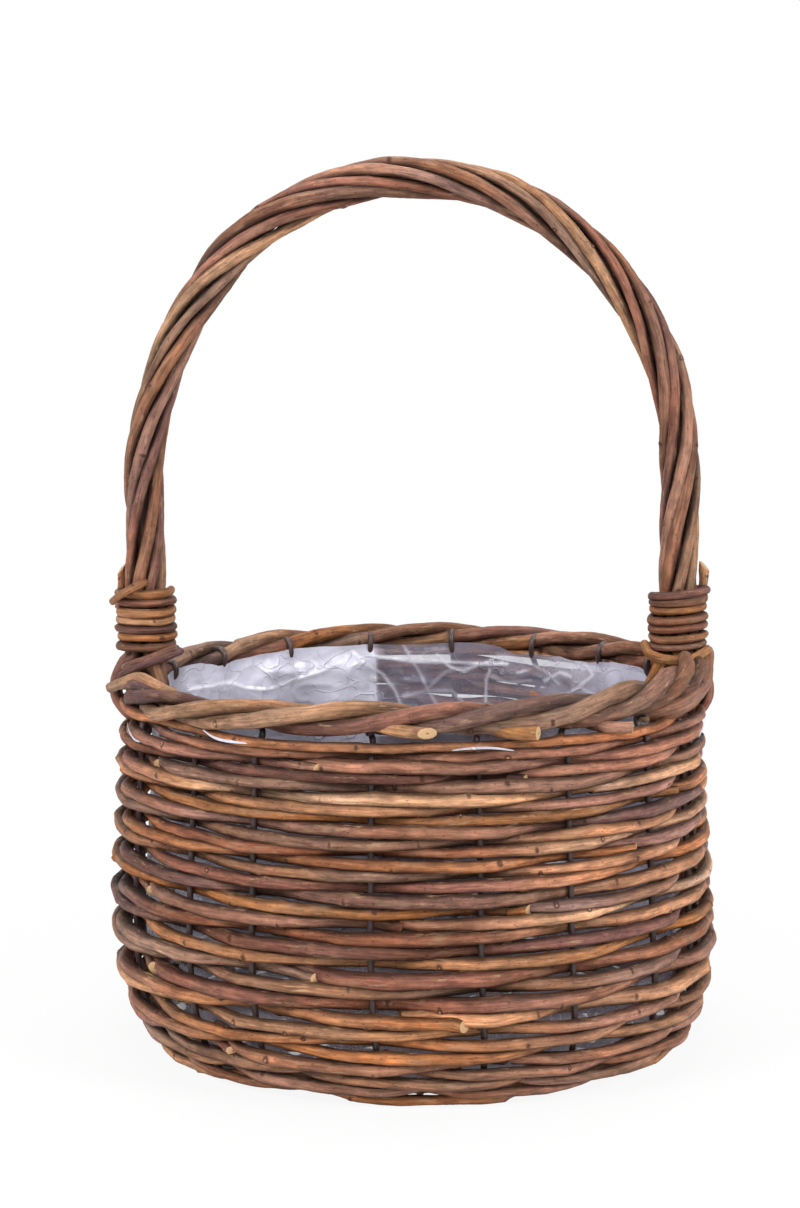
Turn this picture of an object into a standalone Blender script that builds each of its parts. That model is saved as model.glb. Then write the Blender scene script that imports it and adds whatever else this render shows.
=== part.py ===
"""Knitting basket of willow rods waled round wire stakes, with a twisted handle and a film liner.

Lengths are metres and +Z is up. The origin is the middle of the flat underside, the handle stands in
the XZ plane and the front faces -Y. Places in the wall are read along the stake line, which runs out
from the base mat, round the bottom corner and up to the border.
"""
import math
from bisect import bisect_right

import bmesh
import bpy
from mathutils import Vector

TURN = 2 * math.pi

# Fits
FIT_GAP = 0.0003
CUT_OVERRUN = 0.001

# Wall, measured on the stake line
RIM_RADIUS = 0.1364
BELLY_BULGE = 0.0051
BELLY_HEIGHT = 0.050
CORNER_WIDTH = 0.0205

# Base mat
BASE_THICKNESS = 0.008
BASE_EDGE_ROUND = 0.0015
BASE_RING_WIDTH = 0.009
BASE_RINGS = 9
BASE_WEAVE_DEPTH = 0.0022
BASE_CROSS_RADIUS = 0.012

# Stakes. At the front they stand off their even places, by shares of the angle between two stakes
STAKE_COUNT = 18
FIRST_SHIFTED_STAKE = 11
STAKE_SHIFT_SHARES = (0.15, -0.065, 0.11, 0.12, 0.035, 0.13)
STAKE_DIAMETER = 0.0030
STAKE_FOOT_LENGTH = 0.020
HOOK_BEND = 0.004
HOOK_LENGTH = 0.013

# Waling
ROD_DIAMETER = 0.0048
RODS_IN_WALE = 3
RODS_PER_SEQUENCE = 8
ROD_TIP_SHARE = 0.86
STEP_UP_STAKES = 6
ROD_END_STAKE_SHARE = 0.3
SEAM_STAKE = 6

# Border
BORDER_HEIGHT = 0.180
BORDER_ROD_DIAMETER = 0.0070
BORDER_RODS = 3
BORDER_TWISTS = 6
BORDER_STEPS = 24
BORDER_PHASE = math.radians(3)
BORDER_END_CLEARANCE = 0.0014

# Handle
HANDLE_INSET = 0.0054
HANDLE_SPRING_HEIGHT = 0.278
HANDLE_RISE = 0.143
HANDLE_ROD_DIAMETER = 0.0062
HANDLE_RODS = 6
HANDLE_TWISTS = 3
HANDLE_STEPS = 24
FOOT_TUCK = 0.012

# Bindings
BINDING_DIAMETER = 0.0041
BINDING_SELF_GAP = 0.0005
BINDING_TURNS = 7
BINDING_STEPS = 12

# Liner
LINER_THICKNESS = 0.0006
LINER_RING_SHARES = (0, 0.16, 0.36, 0.66, 1)
LINER_FOLDS = 18
LINER_FOLD_DEPTH = 0.0065
LINER_FOLD_SHARES = (0, 1, 0.45)
LINER_FOLD_UNEVENNESS = 0.35
LINER_FOLD_CHANGE = 2.4
LINER_FLOOR_SHARE = 0.95
LINER_DIP = 0.012
LINER_DIP_ANGLE = math.radians(10)

# Drawing
LINE_STEPS = 240
SEARCH_STEP = 0.00005
STAKE_CORNER_STEPS = 8
STAKE_WALL_STEPS = 3
SHARP_ANGLE = math.radians(40)

# Colours from the photograph
BARK_COLOURS = (
    (0.30, 0.135, 0.060),
    (0.21, 0.088, 0.046),
    (0.37, 0.185, 0.085),
    (0.15, 0.068, 0.046),
    (0.26, 0.115, 0.052),
    (0.17, 0.085, 0.068),
    (0.42, 0.235, 0.110),
)
WIRE_COLOUR = (0.035, 0.033, 0.032)
BINDING_COLOUR = (0.28, 0.13, 0.06)
FILM_COLOUR = (0.80, 0.79, 0.83)
BARK_ROUGHNESS = 0.62
WIRE_ROUGHNESS = 0.38
WIRE_METALLIC = 0.6
FILM_ROUGHNESS = 0.22
WALE_COLOUR_STEP = 3
BORDER_COLOUR_STEP = 2

MILLIMETRES = 1000

# Sizes that follow from the ones above
BELLY_RADIUS = RIM_RADIUS + BELLY_BULGE
BASE_RADIUS = BELLY_RADIUS - CORNER_WIDTH
HANDLE_HALF_WIDTH = RIM_RADIUS - HANDLE_INSET
STAKE_RADIUS = STAKE_DIAMETER / 2
ROD_RADIUS = ROD_DIAMETER / 2
WEAVE_OFFSET = STAKE_RADIUS + ROD_RADIUS + FIT_GAP
STAKE_ANGLE = TURN / STAKE_COUNT
FOOT_HEIGHT = BASE_THICKNESS / 2

BORDER_ROD_RADIUS = BORDER_ROD_DIAMETER / 2
BORDER_STEP_TWIST = math.pi * BORDER_TWISTS / BORDER_STEPS
BORDER_LAY_RADIUS = (BORDER_ROD_DIAMETER + FIT_GAP) / (
    2 * math.sin(math.pi / BORDER_RODS) * math.cos(BORDER_STEP_TWIST / 2))
BORDER_HALF_THICKNESS = BORDER_LAY_RADIUS + BORDER_ROD_RADIUS
BORDER_UNDERSIDE = BORDER_HEIGHT - BORDER_HALF_THICKNESS
HOOK_HEIGHT = BORDER_UNDERSIDE - FIT_GAP - STAKE_RADIUS
WALE_TOP = HOOK_HEIGHT - STAKE_RADIUS - FIT_GAP

HANDLE_ROD_RADIUS = HANDLE_ROD_DIAMETER / 2
HANDLE_STEP_TWIST = TURN * HANDLE_TWISTS / HANDLE_STEPS
HANDLE_LAY_RADIUS = (HANDLE_ROD_DIAMETER + FIT_GAP) / math.cos(HANDLE_STEP_TWIST / 2)
HANDLE_HALF_THICKNESS = HANDLE_LAY_RADIUS + HANDLE_ROD_RADIUS

BINDING_RADIUS = BINDING_DIAMETER / 2
BINDING_PITCH = BINDING_DIAMETER + BINDING_SELF_GAP
BINDING_LOOP_RADIUS = (HANDLE_HALF_THICKNESS + FIT_GAP + BINDING_RADIUS) / math.cos(math.pi / BINDING_STEPS)
BINDING_BOTTOM = BORDER_HEIGHT + BORDER_HALF_THICKNESS + FIT_GAP + BINDING_RADIUS
LEG_BOTTOM = BINDING_BOTTOM - BINDING_RADIUS


class Line:
    """A polyline that is read by the distance along it."""

    def __init__(self, points):
        self.points = points
        self.marks = [0.0]
        for start, end in zip(points, points[1:]):
            self.marks.append(self.marks[-1] + (end - start).length)
        self.length = self.marks[-1]

    def at(self, distance):
        """The point at a distance along the line, and the line's direction there."""
        index = min(max(bisect_right(self.marks, distance) - 1, 0), len(self.points) - 2)
        start, end = self.points[index], self.points[index + 1]
        direction = (end - start).normalized()
        return start + direction * (distance - self.marks[index]), direction


def corner_place(direction):
    """Radius and height in the elliptic bottom corner where the stake line has a direction."""
    width = BELLY_RADIUS - BASE_RADIUS
    height = BELLY_HEIGHT - FOOT_HEIGHT
    angle = math.atan2(width * math.sin(direction), height * math.cos(direction))
    return Vector((BASE_RADIUS + width * math.sin(angle), BELLY_HEIGHT - height * math.cos(angle)))


def taper_place(height):
    """Radius and height in the wall above the corner, which eases from the belly to the rim."""
    rise_share = (height - BELLY_HEIGHT) / (BORDER_HEIGHT - BELLY_HEIGHT)
    taper_share = (1 - math.cos(math.pi * rise_share)) / 2
    return Vector((BELLY_RADIUS + (RIM_RADIUS - BELLY_RADIUS) * taper_share, height))


def stake_line():
    """Radius and height of a stake's middle, from the edge of the base mat to the border."""
    points = [corner_place(math.pi / 2 * step / LINE_STEPS) for step in range(LINE_STEPS + 1)]
    for step in range(1, LINE_STEPS + 1):
        points.append(taper_place(BELLY_HEIGHT + (BORDER_HEIGHT - BELLY_HEIGHT) * step / LINE_STEPS))
    return Line(points)


STAKE_LINE = stake_line()


def wall_place(distance, offset):
    """Radius and height at a distance along the stake line and an offset out of the wall."""
    point, direction = STAKE_LINE.at(distance)
    return point + offset * Vector((direction.y, -direction.x))


def distance_at_height(height):
    """Distance along the stake line at which it reaches a height."""
    distance = 0.0
    while distance < STAKE_LINE.length and STAKE_LINE.at(distance)[0].y < height:
        distance += SEARCH_STEP
    return distance


def first_rod_distance():
    """Distance along the stake line of the lowest rod, whose outer side just clears the ground."""
    distance = 0.0
    while wall_place(distance, WEAVE_OFFSET).y < ROD_RADIUS + FIT_GAP:
        distance += SEARCH_STEP
    return distance


WALE_START = first_rod_distance()
WALE_END = distance_at_height(WALE_TOP - ROD_RADIUS)
ROUNDS = int(((WALE_END - WALE_START) / (ROD_DIAMETER + FIT_GAP) + 1) / RODS_IN_WALE)
ROD_SPACING = (WALE_END - WALE_START) / (RODS_IN_WALE * ROUNDS - 1)


def around(radius, angle, height):
    """A point from its radius, angle and height."""
    return Vector((radius * math.cos(angle), radius * math.sin(angle), height))


def blend(start, end, share):
    """The value a share of the way from start to end."""
    return start + (end - start) * share


def stake_angle(stake):
    """Where a stake stands. The front ones are off their even places."""
    shifted = stake % STAKE_COUNT - FIRST_SHIFTED_STAKE
    shift_share = STAKE_SHIFT_SHARES[shifted] if 0 <= shifted < len(STAKE_SHIFT_SHARES) else 0
    return STAKE_ANGLE * (stake + shift_share)


def wale_stake_point(rod, stake):
    """Where one rod of the wale passes one stake: outside it, or inside it at every third stake."""
    rounds, in_round = divmod(max(stake, 0), STAKE_COUNT)
    step_up_share = max(0, in_round - (STAKE_COUNT - STEP_UP_STAKES)) / STEP_UP_STAKES
    level = rod + RODS_IN_WALE * (rounds + step_up_share)
    inside = (rod - stake) % RODS_IN_WALE == 0
    place = wall_place(WALE_START + ROD_SPACING * level, -WEAVE_OFFSET if inside else WEAVE_OFFSET)
    return around(place.x, stake_angle(SEAM_STAKE + stake), place.y)


def wale_point(rod, travel):
    """A point on a rod of the wale, which runs straight from stake to stake."""
    stake = math.floor(travel)
    return blend(wale_stake_point(rod, stake), wale_stake_point(rod, stake + 1), travel - stake)


def wale_cuts(rod):
    """Where the rods of one sequence end, in stakes travelled: just past a stake they pass inside."""
    start = -(RODS_IN_WALE - 1 - rod) * STEP_UP_STAKES / RODS_IN_WALE
    end = ROUNDS * STAKE_COUNT - (rod + 1) * STEP_UP_STAKES / RODS_IN_WALE
    cuts = [start]
    for index in range(1, RODS_PER_SEQUENCE):
        stake = round(blend(start, end, index / RODS_PER_SEQUENCE))
        cuts.append(stake + (rod - stake) % RODS_IN_WALE + ROD_END_STAKE_SHARE)
    return cuts + [end]


def wale_route(rod, start, end):
    """The points of one rod between two cuts, with a gap to the rods that it meets there."""
    trim = FIT_GAP / (STAKE_ANGLE * RIM_RADIUS)
    stops = [start + trim]
    stops += range(math.floor(start) + 1, math.ceil(end))
    stops.append(end - trim)
    return [wale_point(rod, stop) for stop in stops]


def stake_route(index):
    """Foot in the base mat, round the corner, up the wall, and sideways under the border."""
    angle = stake_angle(index)
    bend_bottom = HOOK_HEIGHT - HOOK_BEND
    places = [Vector((BASE_RADIUS - STAKE_FOOT_LENGTH, FOOT_HEIGHT))]
    for step in range(STAKE_CORNER_STEPS + 1):
        places.append(corner_place(math.pi / 2 * step / STAKE_CORNER_STEPS))
    for step in range(1, STAKE_WALL_STEPS + 1):
        places.append(taper_place(blend(BELLY_HEIGHT, bend_bottom, step / STAKE_WALL_STEPS)))
    points = [around(place.x, angle, place.y) for place in places]
    radius = places[-1].x
    for turn in (math.pi / 4, math.pi / 2):
        sideways = HOOK_BEND * (1 - math.cos(turn))
        height = bend_bottom + HOOK_BEND * math.sin(turn)
        points.append(around(radius, angle + sideways / radius, height))
    points.append(around(radius, angle + (HOOK_BEND + HOOK_LENGTH) / radius, HOOK_HEIGHT))
    return points


def border_route(rod, first_angle, last_angle):
    """One border rod, twisted with the others round the border's middle line."""
    points = []
    for step in range(BORDER_STEPS + 1):
        angle = blend(first_angle, last_angle, step / BORDER_STEPS)
        twist = BORDER_PHASE + TURN * rod / BORDER_RODS + BORDER_TWISTS * angle
        radius = RIM_RADIUS + BORDER_LAY_RADIUS * math.cos(twist)
        points.append(around(radius, angle, BORDER_HEIGHT + BORDER_LAY_RADIUS * math.sin(twist)))
    return points


def handle_line():
    """Middle line of the handle in the XZ plane: a straight leg, half an ellipse, a straight leg."""
    points = [Vector((-HANDLE_HALF_WIDTH, 0, LEG_BOTTOM))]
    for step in range(LINE_STEPS + 1):
        angle = math.pi * (1 - step / LINE_STEPS)
        height = HANDLE_SPRING_HEIGHT + HANDLE_RISE * math.sin(angle)
        points.append(Vector((HANDLE_HALF_WIDTH * math.cos(angle), 0, height)))
    points.append(Vector((HANDLE_HALF_WIDTH, 0, LEG_BOTTOM)))
    return Line(points)


HANDLE_LINE = handle_line()
HANDLE_SHARES = [step / HANDLE_STEPS for step in range(HANDLE_STEPS + 1)]


def handle_point(phase, share):
    """A point on a twisted handle rod. Phase 0 is on the outer side, a quarter turn is in front."""
    point, direction = HANDLE_LINE.at(HANDLE_LINE.length * share)
    outward = Vector((-direction.z, 0, direction.x))
    twist = phase + TURN * HANDLE_TWISTS * share
    front = Vector((0, -1, 0))
    return point + HANDLE_LAY_RADIUS * (math.cos(twist) * outward + math.sin(twist) * front)


def foot_route(phase, side):
    """A handle rod's foot, from just above its end up to the leg: outside the wall or inside it."""
    outside = math.cos(phase) > 0
    clear = WEAVE_OFFSET + ROD_RADIUS + FIT_GAP + HANDLE_ROD_RADIUS
    lane_radius = RIM_RADIUS + clear
    if not outside:
        lane_radius = min(RIM_RADIUS - clear, HANDLE_HALF_WIDTH - HANDLE_LAY_RADIUS)
    lane_y = -math.copysign(HANDLE_ROD_DIAMETER + FIT_GAP, math.sin(phase))
    if abs(math.sin(phase)) < math.sin(math.pi / HANDLE_RODS):
        lane_y = 0
    lane_x = side * math.sqrt(lane_radius ** 2 - lane_y ** 2)
    leg = handle_point(phase, 0 if side < 0 else 1)
    lane_top = Vector((lane_x, lane_y, WALE_TOP + HANDLE_ROD_RADIUS))
    lane_end = Vector((lane_x, lane_y, WALE_TOP - FOOT_TUCK))
    return [lane_end, lane_top, blend(lane_top, leg, 0.5)]


def handle_rod_route(phase):
    """One outer rod of the handle, from the foot in the left wall over the top to the right one."""
    points = foot_route(phase, -1)
    points += [handle_point(phase, share) for share in HANDLE_SHARES]
    points += reversed(foot_route(phase, 1))
    return points


def handle_core_route():
    """The straight-laid rod inside the handle, whose ends stand on the stakes' hooks."""
    foot = HOOK_HEIGHT + STAKE_RADIUS + FIT_GAP
    points = [Vector((-HANDLE_HALF_WIDTH, 0, foot))]
    points += [HANDLE_LINE.at(HANDLE_LINE.length * share)[0] for share in HANDLE_SHARES]
    points.append(Vector((HANDLE_HALF_WIDTH, 0, foot)))
    return points


def binding_route(side):
    """Seven turns round a leg of the handle, with a straight tail at each end."""
    points = []
    for step in range(BINDING_TURNS * BINDING_STEPS + 1):
        angle = TURN * step / BINDING_STEPS
        height = BINDING_BOTTOM + BINDING_PITCH * step / BINDING_STEPS
        loop = around(BINDING_LOOP_RADIUS, angle, height)
        points.append(Vector((side * (HANDLE_HALF_WIDTH - loop.x), loop.y, loop.z)))
    lower_tail = Vector((0, -BINDING_DIAMETER, 0))
    upper_tail = Vector((0, BINDING_DIAMETER, 0))
    return [points[0] + lower_tail] + points + [points[-1] + upper_tail]


def least_self_gap(points, diameter, skip):
    """Least gap of a tube to itself, between points that lie at least skip steps apart."""
    gaps = [(a - b).length for i, a in enumerate(points) for b in points[i + skip:]]
    return min(gaps) - diameter


def paint(obj, colour, roughness, metallic=0.0, alpha=1.0):
    """Give an object its own material."""
    material = bpy.data.materials.new(obj.name)
    material.use_nodes = True
    shader = material.node_tree.nodes["Principled BSDF"]
    shader.inputs["Base Color"].default_value = (*colour, 1)
    shader.inputs["Roughness"].default_value = roughness
    shader.inputs["Metallic"].default_value = metallic
    shader.inputs["Alpha"].default_value = alpha
    obj.data.materials.append(material)


def link(name, data):
    """A new object in the scene."""
    obj = bpy.data.objects.new(name, data)
    bpy.context.scene.collection.objects.link(obj)
    return obj


def tube(name, points, radius, tip_share=1.0, twist_mode="MINIMUM"):
    """A round rod or wire along points, thinner towards its far end if tip_share is under 1."""
    curve = bpy.data.curves.new(name, "CURVE")
    curve.dimensions = "3D"
    curve.twist_mode = twist_mode
    curve.bevel_depth = radius
    curve.bevel_resolution = 1
    curve.use_fill_caps = True
    spline = curve.splines.new("POLY")
    spline.points.add(len(points) - 1)
    for index, point in enumerate(points):
        spline.points[index].co = (*point, 1)
        spline.points[index].radius = blend(1, tip_share, index / (len(points) - 1))
    return link(name, curve)


def mesh_object(name, mesh_builder):
    """A new mesh object from a bmesh, with its faces turned outward and shaded smooth."""
    mesh = bpy.data.meshes.new(name)
    bmesh.ops.recalc_face_normals(mesh_builder, faces=mesh_builder.faces)
    mesh_builder.to_mesh(mesh)
    mesh_builder.free()
    mesh.shade_smooth()
    mesh.set_sharp_from_angle(angle=SHARP_ANGLE)
    return link(name, mesh)


def close_rings(builder, rings):
    """Faces between neighbouring rings, and one face over each end."""
    for lower, upper in zip(rings, rings[1:]):
        for index in range(len(lower)):
            following = (index + 1) % len(lower)
            builder.faces.new((lower[index], lower[following], upper[following], upper[index]))
    builder.faces.new(rings[0])
    builder.faces.new(rings[-1])


def base_ring(builder, radius, heights):
    """A ring of the base mat, with the given heights at and between its sticks in turn."""
    ring = []
    for step in range(2 * STAKE_COUNT):
        angle = STAKE_ANGLE * step / 2
        ring.append(builder.verts.new(around(radius, angle, heights[step % len(heights)])))
    return ring


def make_base_mat():
    """The bottom: flat below, woven above, with a blind bore in its edge for each stake's foot.

    Two rods lie side by side in each ring of the weave. They pass over one stick and under the next,
    and the next ring does so the other way round. The sticks lie halfway between the stakes.
    """
    builder = bmesh.new()
    middle = BASE_THICKNESS - BASE_WEAVE_DEPTH / 2
    weave = (middle, BASE_THICKNESS, middle, BASE_THICKNESS - BASE_WEAVE_DEPTH)
    rings = [
        base_ring(builder, BASE_RADIUS - BASE_EDGE_ROUND, (0,)),
        base_ring(builder, BASE_RADIUS, (BASE_EDGE_ROUND,)),
        base_ring(builder, BASE_RADIUS, (middle,)),
    ]
    for number in range(BASE_RINGS):
        radius = BASE_RADIUS - BASE_RING_WIDTH * (number + 0.5)
        rings.append(base_ring(builder, radius, weave if number % 2 else weave[2:] + weave[:2]))
    rings.append(base_ring(builder, BASE_CROSS_RADIUS, (BASE_THICKNESS,)))
    close_rings(builder, rings)
    mat = mesh_object("base_mat", builder)
    paint(mat, BARK_COLOURS[0], BARK_ROUGHNESS)
    bores = mat.modifiers.new("stake bores", "BOOLEAN")
    bores.operation = "DIFFERENCE"
    bores.solver = "EXACT"
    bores.object = make_bore_cutter()


def make_bore_cutter():
    """Bores for all stakes' feet, as one cutter."""
    curve = bpy.data.curves.new("stake_bore_cutter", "CURVE")
    curve.dimensions = "3D"
    curve.bevel_depth = STAKE_RADIUS + FIT_GAP
    curve.bevel_resolution = 1
    curve.use_fill_caps = True
    depth = STAKE_FOOT_LENGTH + FIT_GAP
    for index in range(STAKE_COUNT):
        spline = curve.splines.new("POLY")
        spline.points.add(1)
        for point, radius in zip(spline.points, (BASE_RADIUS - depth, BASE_RADIUS + CUT_OVERRUN)):
            point.co = (*around(radius, stake_angle(index), FOOT_HEIGHT), 1)
    guide = link("stake_bore_guide", curve)
    mesh = bpy.data.meshes.new_from_object(guide.evaluated_get(bpy.context.evaluated_depsgraph_get()))
    bpy.data.objects.remove(guide)
    cutter = link("stake_bore_cutter", mesh)
    cutter.hide_render = True
    cutter.display_type = "WIRE"
    return cutter


def make_stakes():
    for index in range(STAKE_COUNT):
        stake = tube(f"stake_{index + 1:02d}", stake_route(index), STAKE_RADIUS)
        paint(stake, WIRE_COLOUR, WIRE_ROUGHNESS, WIRE_METALLIC)


def make_wale():
    """The wall's rods. Each sequence spirals up the wall and is made of rods laid end to end."""
    number = 0
    for rod in range(RODS_IN_WALE):
        cuts = wale_cuts(rod)
        for start, end in zip(cuts, cuts[1:]):
            number += 1
            route = wale_route(rod, start, end)
            piece = tube(f"wale_rod_{number:02d}", route, ROD_RADIUS, ROD_TIP_SHARE, "Z_UP")
            paint(piece, BARK_COLOURS[number * WALE_COLOUR_STEP % len(BARK_COLOURS)], BARK_ROUGHNESS)


def make_border():
    """Twisted rods on the wall's top edge, which stop at each leg of the handle."""
    gap_angle = math.asin((HANDLE_HALF_THICKNESS + BORDER_END_CLEARANCE) / RIM_RADIUS)
    for half, name in enumerate(("back", "front")):
        first = math.pi * half + gap_angle
        last = math.pi * (half + 1) - gap_angle
        for rod in range(BORDER_RODS):
            piece = tube(f"border_rod_{name}_{rod + 1}", border_route(rod, first, last), BORDER_ROD_RADIUS)
            colour = BARK_COLOURS[(rod + half) * BORDER_COLOUR_STEP % len(BARK_COLOURS)]
            paint(piece, colour, BARK_ROUGHNESS)


def make_handle():
    """A core rod with the others twisted round it."""
    core = tube("handle_core", handle_core_route(), HANDLE_ROD_RADIUS)
    paint(core, BARK_COLOURS[1], BARK_ROUGHNESS)
    for rod in range(HANDLE_RODS):
        route = handle_rod_route(TURN * rod / HANDLE_RODS)
        piece = tube(f"handle_rod_{rod + 1}", route, HANDLE_ROD_RADIUS)
        paint(piece, BARK_COLOURS[rod % len(BARK_COLOURS)], BARK_ROUGHNESS)


def make_bindings():
    for name, side in (("left", -1), ("right", 1)):
        route = binding_route(side)
        gap = least_self_gap(route, BINDING_DIAMETER, BINDING_STEPS // 2)
        print(f"binding_{name}: {BINDING_TURNS} turns, least gap to itself {gap * MILLIMETRES:.2f} mm")
        binding = tube(f"binding_{name}", route, BINDING_RADIUS)
        paint(binding, BINDING_COLOUR, BARK_ROUGHNESS)


def liner_angles():
    """Angles round the liner, with one step for each share of a fold's depth."""
    count = LINER_FOLDS * len(LINER_FOLD_SHARES)
    return [TURN * step / count for step in range(count)]


def fold_depth(step):
    """How far the film is drawn in from the wall at one of the liner's angles."""
    fold, place = divmod(step, len(LINER_FOLD_SHARES))
    evenness_share = 1 - LINER_FOLD_UNEVENNESS * (1 + math.cos(LINER_FOLD_CHANGE * fold)) / 2
    return LINER_FOLD_DEPTH * LINER_FOLD_SHARES[place] * evenness_share


def liner_ring(builder, share, offset):
    """A ring of one side of the film, in folds that grow up the wall and a dip at each handle foot."""
    ring = []
    for step, angle in enumerate(liner_angles()):
        to_leg = abs(math.remainder(angle, math.pi)) / LINER_DIP_ANGLE
        dip = (FOOT_TUCK + LINER_DIP) * max(0, min(1, 2 - to_leg))
        depth = fold_depth(step) * math.sqrt(share)
        place = wall_place(blend(WALE_START, WALE_END - dip, share), -offset - depth)
        ring.append(builder.verts.new(around(place.x, angle, place.y)))
    return ring


def liner_side(builder, offset, floor_height):
    """Rings of one side of the film, from the floor's edge up, joined by triangles."""
    floor_radius = BASE_RADIUS * LINER_FLOOR_SHARE
    rings = [[builder.verts.new(around(floor_radius, angle, floor_height)) for angle in liner_angles()]]
    rings += [liner_ring(builder, share, offset) for share in LINER_RING_SHARES]
    builder.faces.new(rings[0])
    for lower, upper in zip(rings, rings[1:]):
        for index in range(len(lower)):
            following = (index + 1) % len(lower)
            builder.faces.new((lower[index], lower[following], upper[following]))
            builder.faces.new((lower[index], upper[following], upper[index]))
    return rings


def make_liner():
    """A thin open film bag that stands on the base mat and hangs in folds inside the wall."""
    builder = bmesh.new()
    outer_offset = WEAVE_OFFSET + ROD_RADIUS + FIT_GAP
    outer_floor = BASE_THICKNESS + FIT_GAP
    outer = liner_side(builder, outer_offset, outer_floor)[-1]
    inner = liner_side(builder, outer_offset + LINER_THICKNESS, outer_floor + LINER_THICKNESS)[-1]
    for index in range(len(outer)):
        following = (index + 1) % len(outer)
        builder.faces.new((outer[index], outer[following], inner[following], inner[index]))
    liner = mesh_object("liner", builder)
    paint(liner, FILM_COLOUR, FILM_ROUGHNESS, alpha=0.5)


def main():
    for obj in list(bpy.data.objects):
        bpy.data.objects.remove(obj)
    print(f"{ROUNDS} rounds, rods {ROD_SPACING * MILLIMETRES:.2f} mm apart")
    make_base_mat()
    make_stakes()
    make_wale()
    make_border()
    make_handle()
    make_bindings()
    make_liner()


main()
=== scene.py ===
"""Looks of the knitting basket: bark-on willow rods, coated wire, a film liner and a white studio.

Lengths are metres, +Z is up and the front faces -Y. The pieces follow the same stake line, weave,
border and handle line as the solids that they replace.
"""
import math
from functools import reduce

import bpy
import numpy as np
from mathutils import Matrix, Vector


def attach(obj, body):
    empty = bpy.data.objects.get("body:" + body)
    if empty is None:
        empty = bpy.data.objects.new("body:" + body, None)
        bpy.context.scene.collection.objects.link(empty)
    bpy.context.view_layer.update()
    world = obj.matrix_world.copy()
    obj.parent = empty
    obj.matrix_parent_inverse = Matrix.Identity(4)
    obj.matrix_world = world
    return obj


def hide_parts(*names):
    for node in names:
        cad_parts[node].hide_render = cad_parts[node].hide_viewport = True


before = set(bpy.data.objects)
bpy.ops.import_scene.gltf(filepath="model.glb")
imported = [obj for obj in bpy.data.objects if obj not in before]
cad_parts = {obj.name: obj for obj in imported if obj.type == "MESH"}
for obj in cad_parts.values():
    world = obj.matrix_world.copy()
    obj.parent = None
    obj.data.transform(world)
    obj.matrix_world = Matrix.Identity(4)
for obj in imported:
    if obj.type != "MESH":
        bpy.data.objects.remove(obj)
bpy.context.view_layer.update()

TURN = 2 * math.pi
MM = 0.001

# Camera and image
CAMERA_PLACE = np.array((-0.0059, -1.300, 0.380))
CAMERA_PITCH = math.radians(7.3)
CAMERA_LENS_MM = 79.39
SENSOR_MM = 36.0
IMAGE_WIDTH = 800
IMAGE_HEIGHT = 1208
FOCAL_PIXELS = CAMERA_LENS_MM / SENSOR_MM * IMAGE_HEIGHT
FRONT = np.array((0, -1.0, 0))

# Wall, as in the solids
RIM_RADIUS = 0.1364
BELLY_RADIUS = RIM_RADIUS + 0.0051
BELLY_HEIGHT = 0.050
BASE_RADIUS = BELLY_RADIUS - 0.0205
BASE_THICKNESS = 0.008
STAKE_COUNT = 18
STAKE_ANGLE = TURN / STAKE_COUNT
STAKE_RADIUS = 1.5 * MM
STAKE_FOOT_LENGTH = 0.020
FIRST_SHIFTED_STAKE = 11
STAKE_SHIFT_SHARES = (0.15, -0.065, 0.11, 0.12, 0.035, 0.13)
SEAM_STAKE = 6
STEP_UP_STAKES = 6
RODS_IN_WALE = 3
RODS_PER_SEQUENCE = 8
ROUNDS = 11
ROD_END_STAKE_SHARE = 0.3
LINE_STEPS = 240

# Border, as in the solids
BORDER_HEIGHT = 0.180
BORDER_LAY_RADIUS = 4.1 * MM
BORDER_TWISTS = 6
BORDER_RODS = 3

# Handle and bindings, as in the solids
HANDLE_HALF_WIDTH = RIM_RADIUS - 0.0054
HANDLE_SPRING_HEIGHT = 0.278
HANDLE_RISE = 0.143
HANDLE_LAY_RADIUS = 7.0 * MM
HANDLE_TWISTS = 3
LEG_BOTTOM = 188.4 * MM
BINDING_TURNS = 7
BINDING_BOTTOM = 190.4 * MM
BINDING_PITCH = 4.3 * MM
BINDING_LOOP_RADIUS = 12.6 * MM

# Liner, as in the solids
LINER_FOLDS = 18
LINER_FOLD_DEPTH = 6.5 * MM
LINER_FOLD_SHARES = (0, 1, 0.45)
LINER_FOLD_UNEVENNESS = 0.35
LINER_FOLD_CHANGE = 2.4

# The lower wall of this basket stands a little to the right of its rim, clear of the floor
FOOT_SHIFT = 3.2 * MM
FOOT_SHIFT_HEIGHT = 0.080
FLOOR_CLEARANCE = 0.05 * MM

# Tones of the bark, as linear colours
TONES = {
    "orange": (0.37, 0.160, 0.070),
    "gold": (0.30, 0.132, 0.048),
    "straw": (0.50, 0.30, 0.170),
    "tan": (0.38, 0.200, 0.108),
    "mauve": (0.285, 0.145, 0.100),
    "rose": (0.225, 0.096, 0.066),
    "red": (0.225, 0.088, 0.046),
    "brown": (0.225, 0.102, 0.060),
    "dark": (0.135, 0.062, 0.047),
    "plum": (0.120, 0.056, 0.050),
    "grey": (0.230, 0.128, 0.084),
    "dusk": (0.150, 0.082, 0.066),
}

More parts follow.
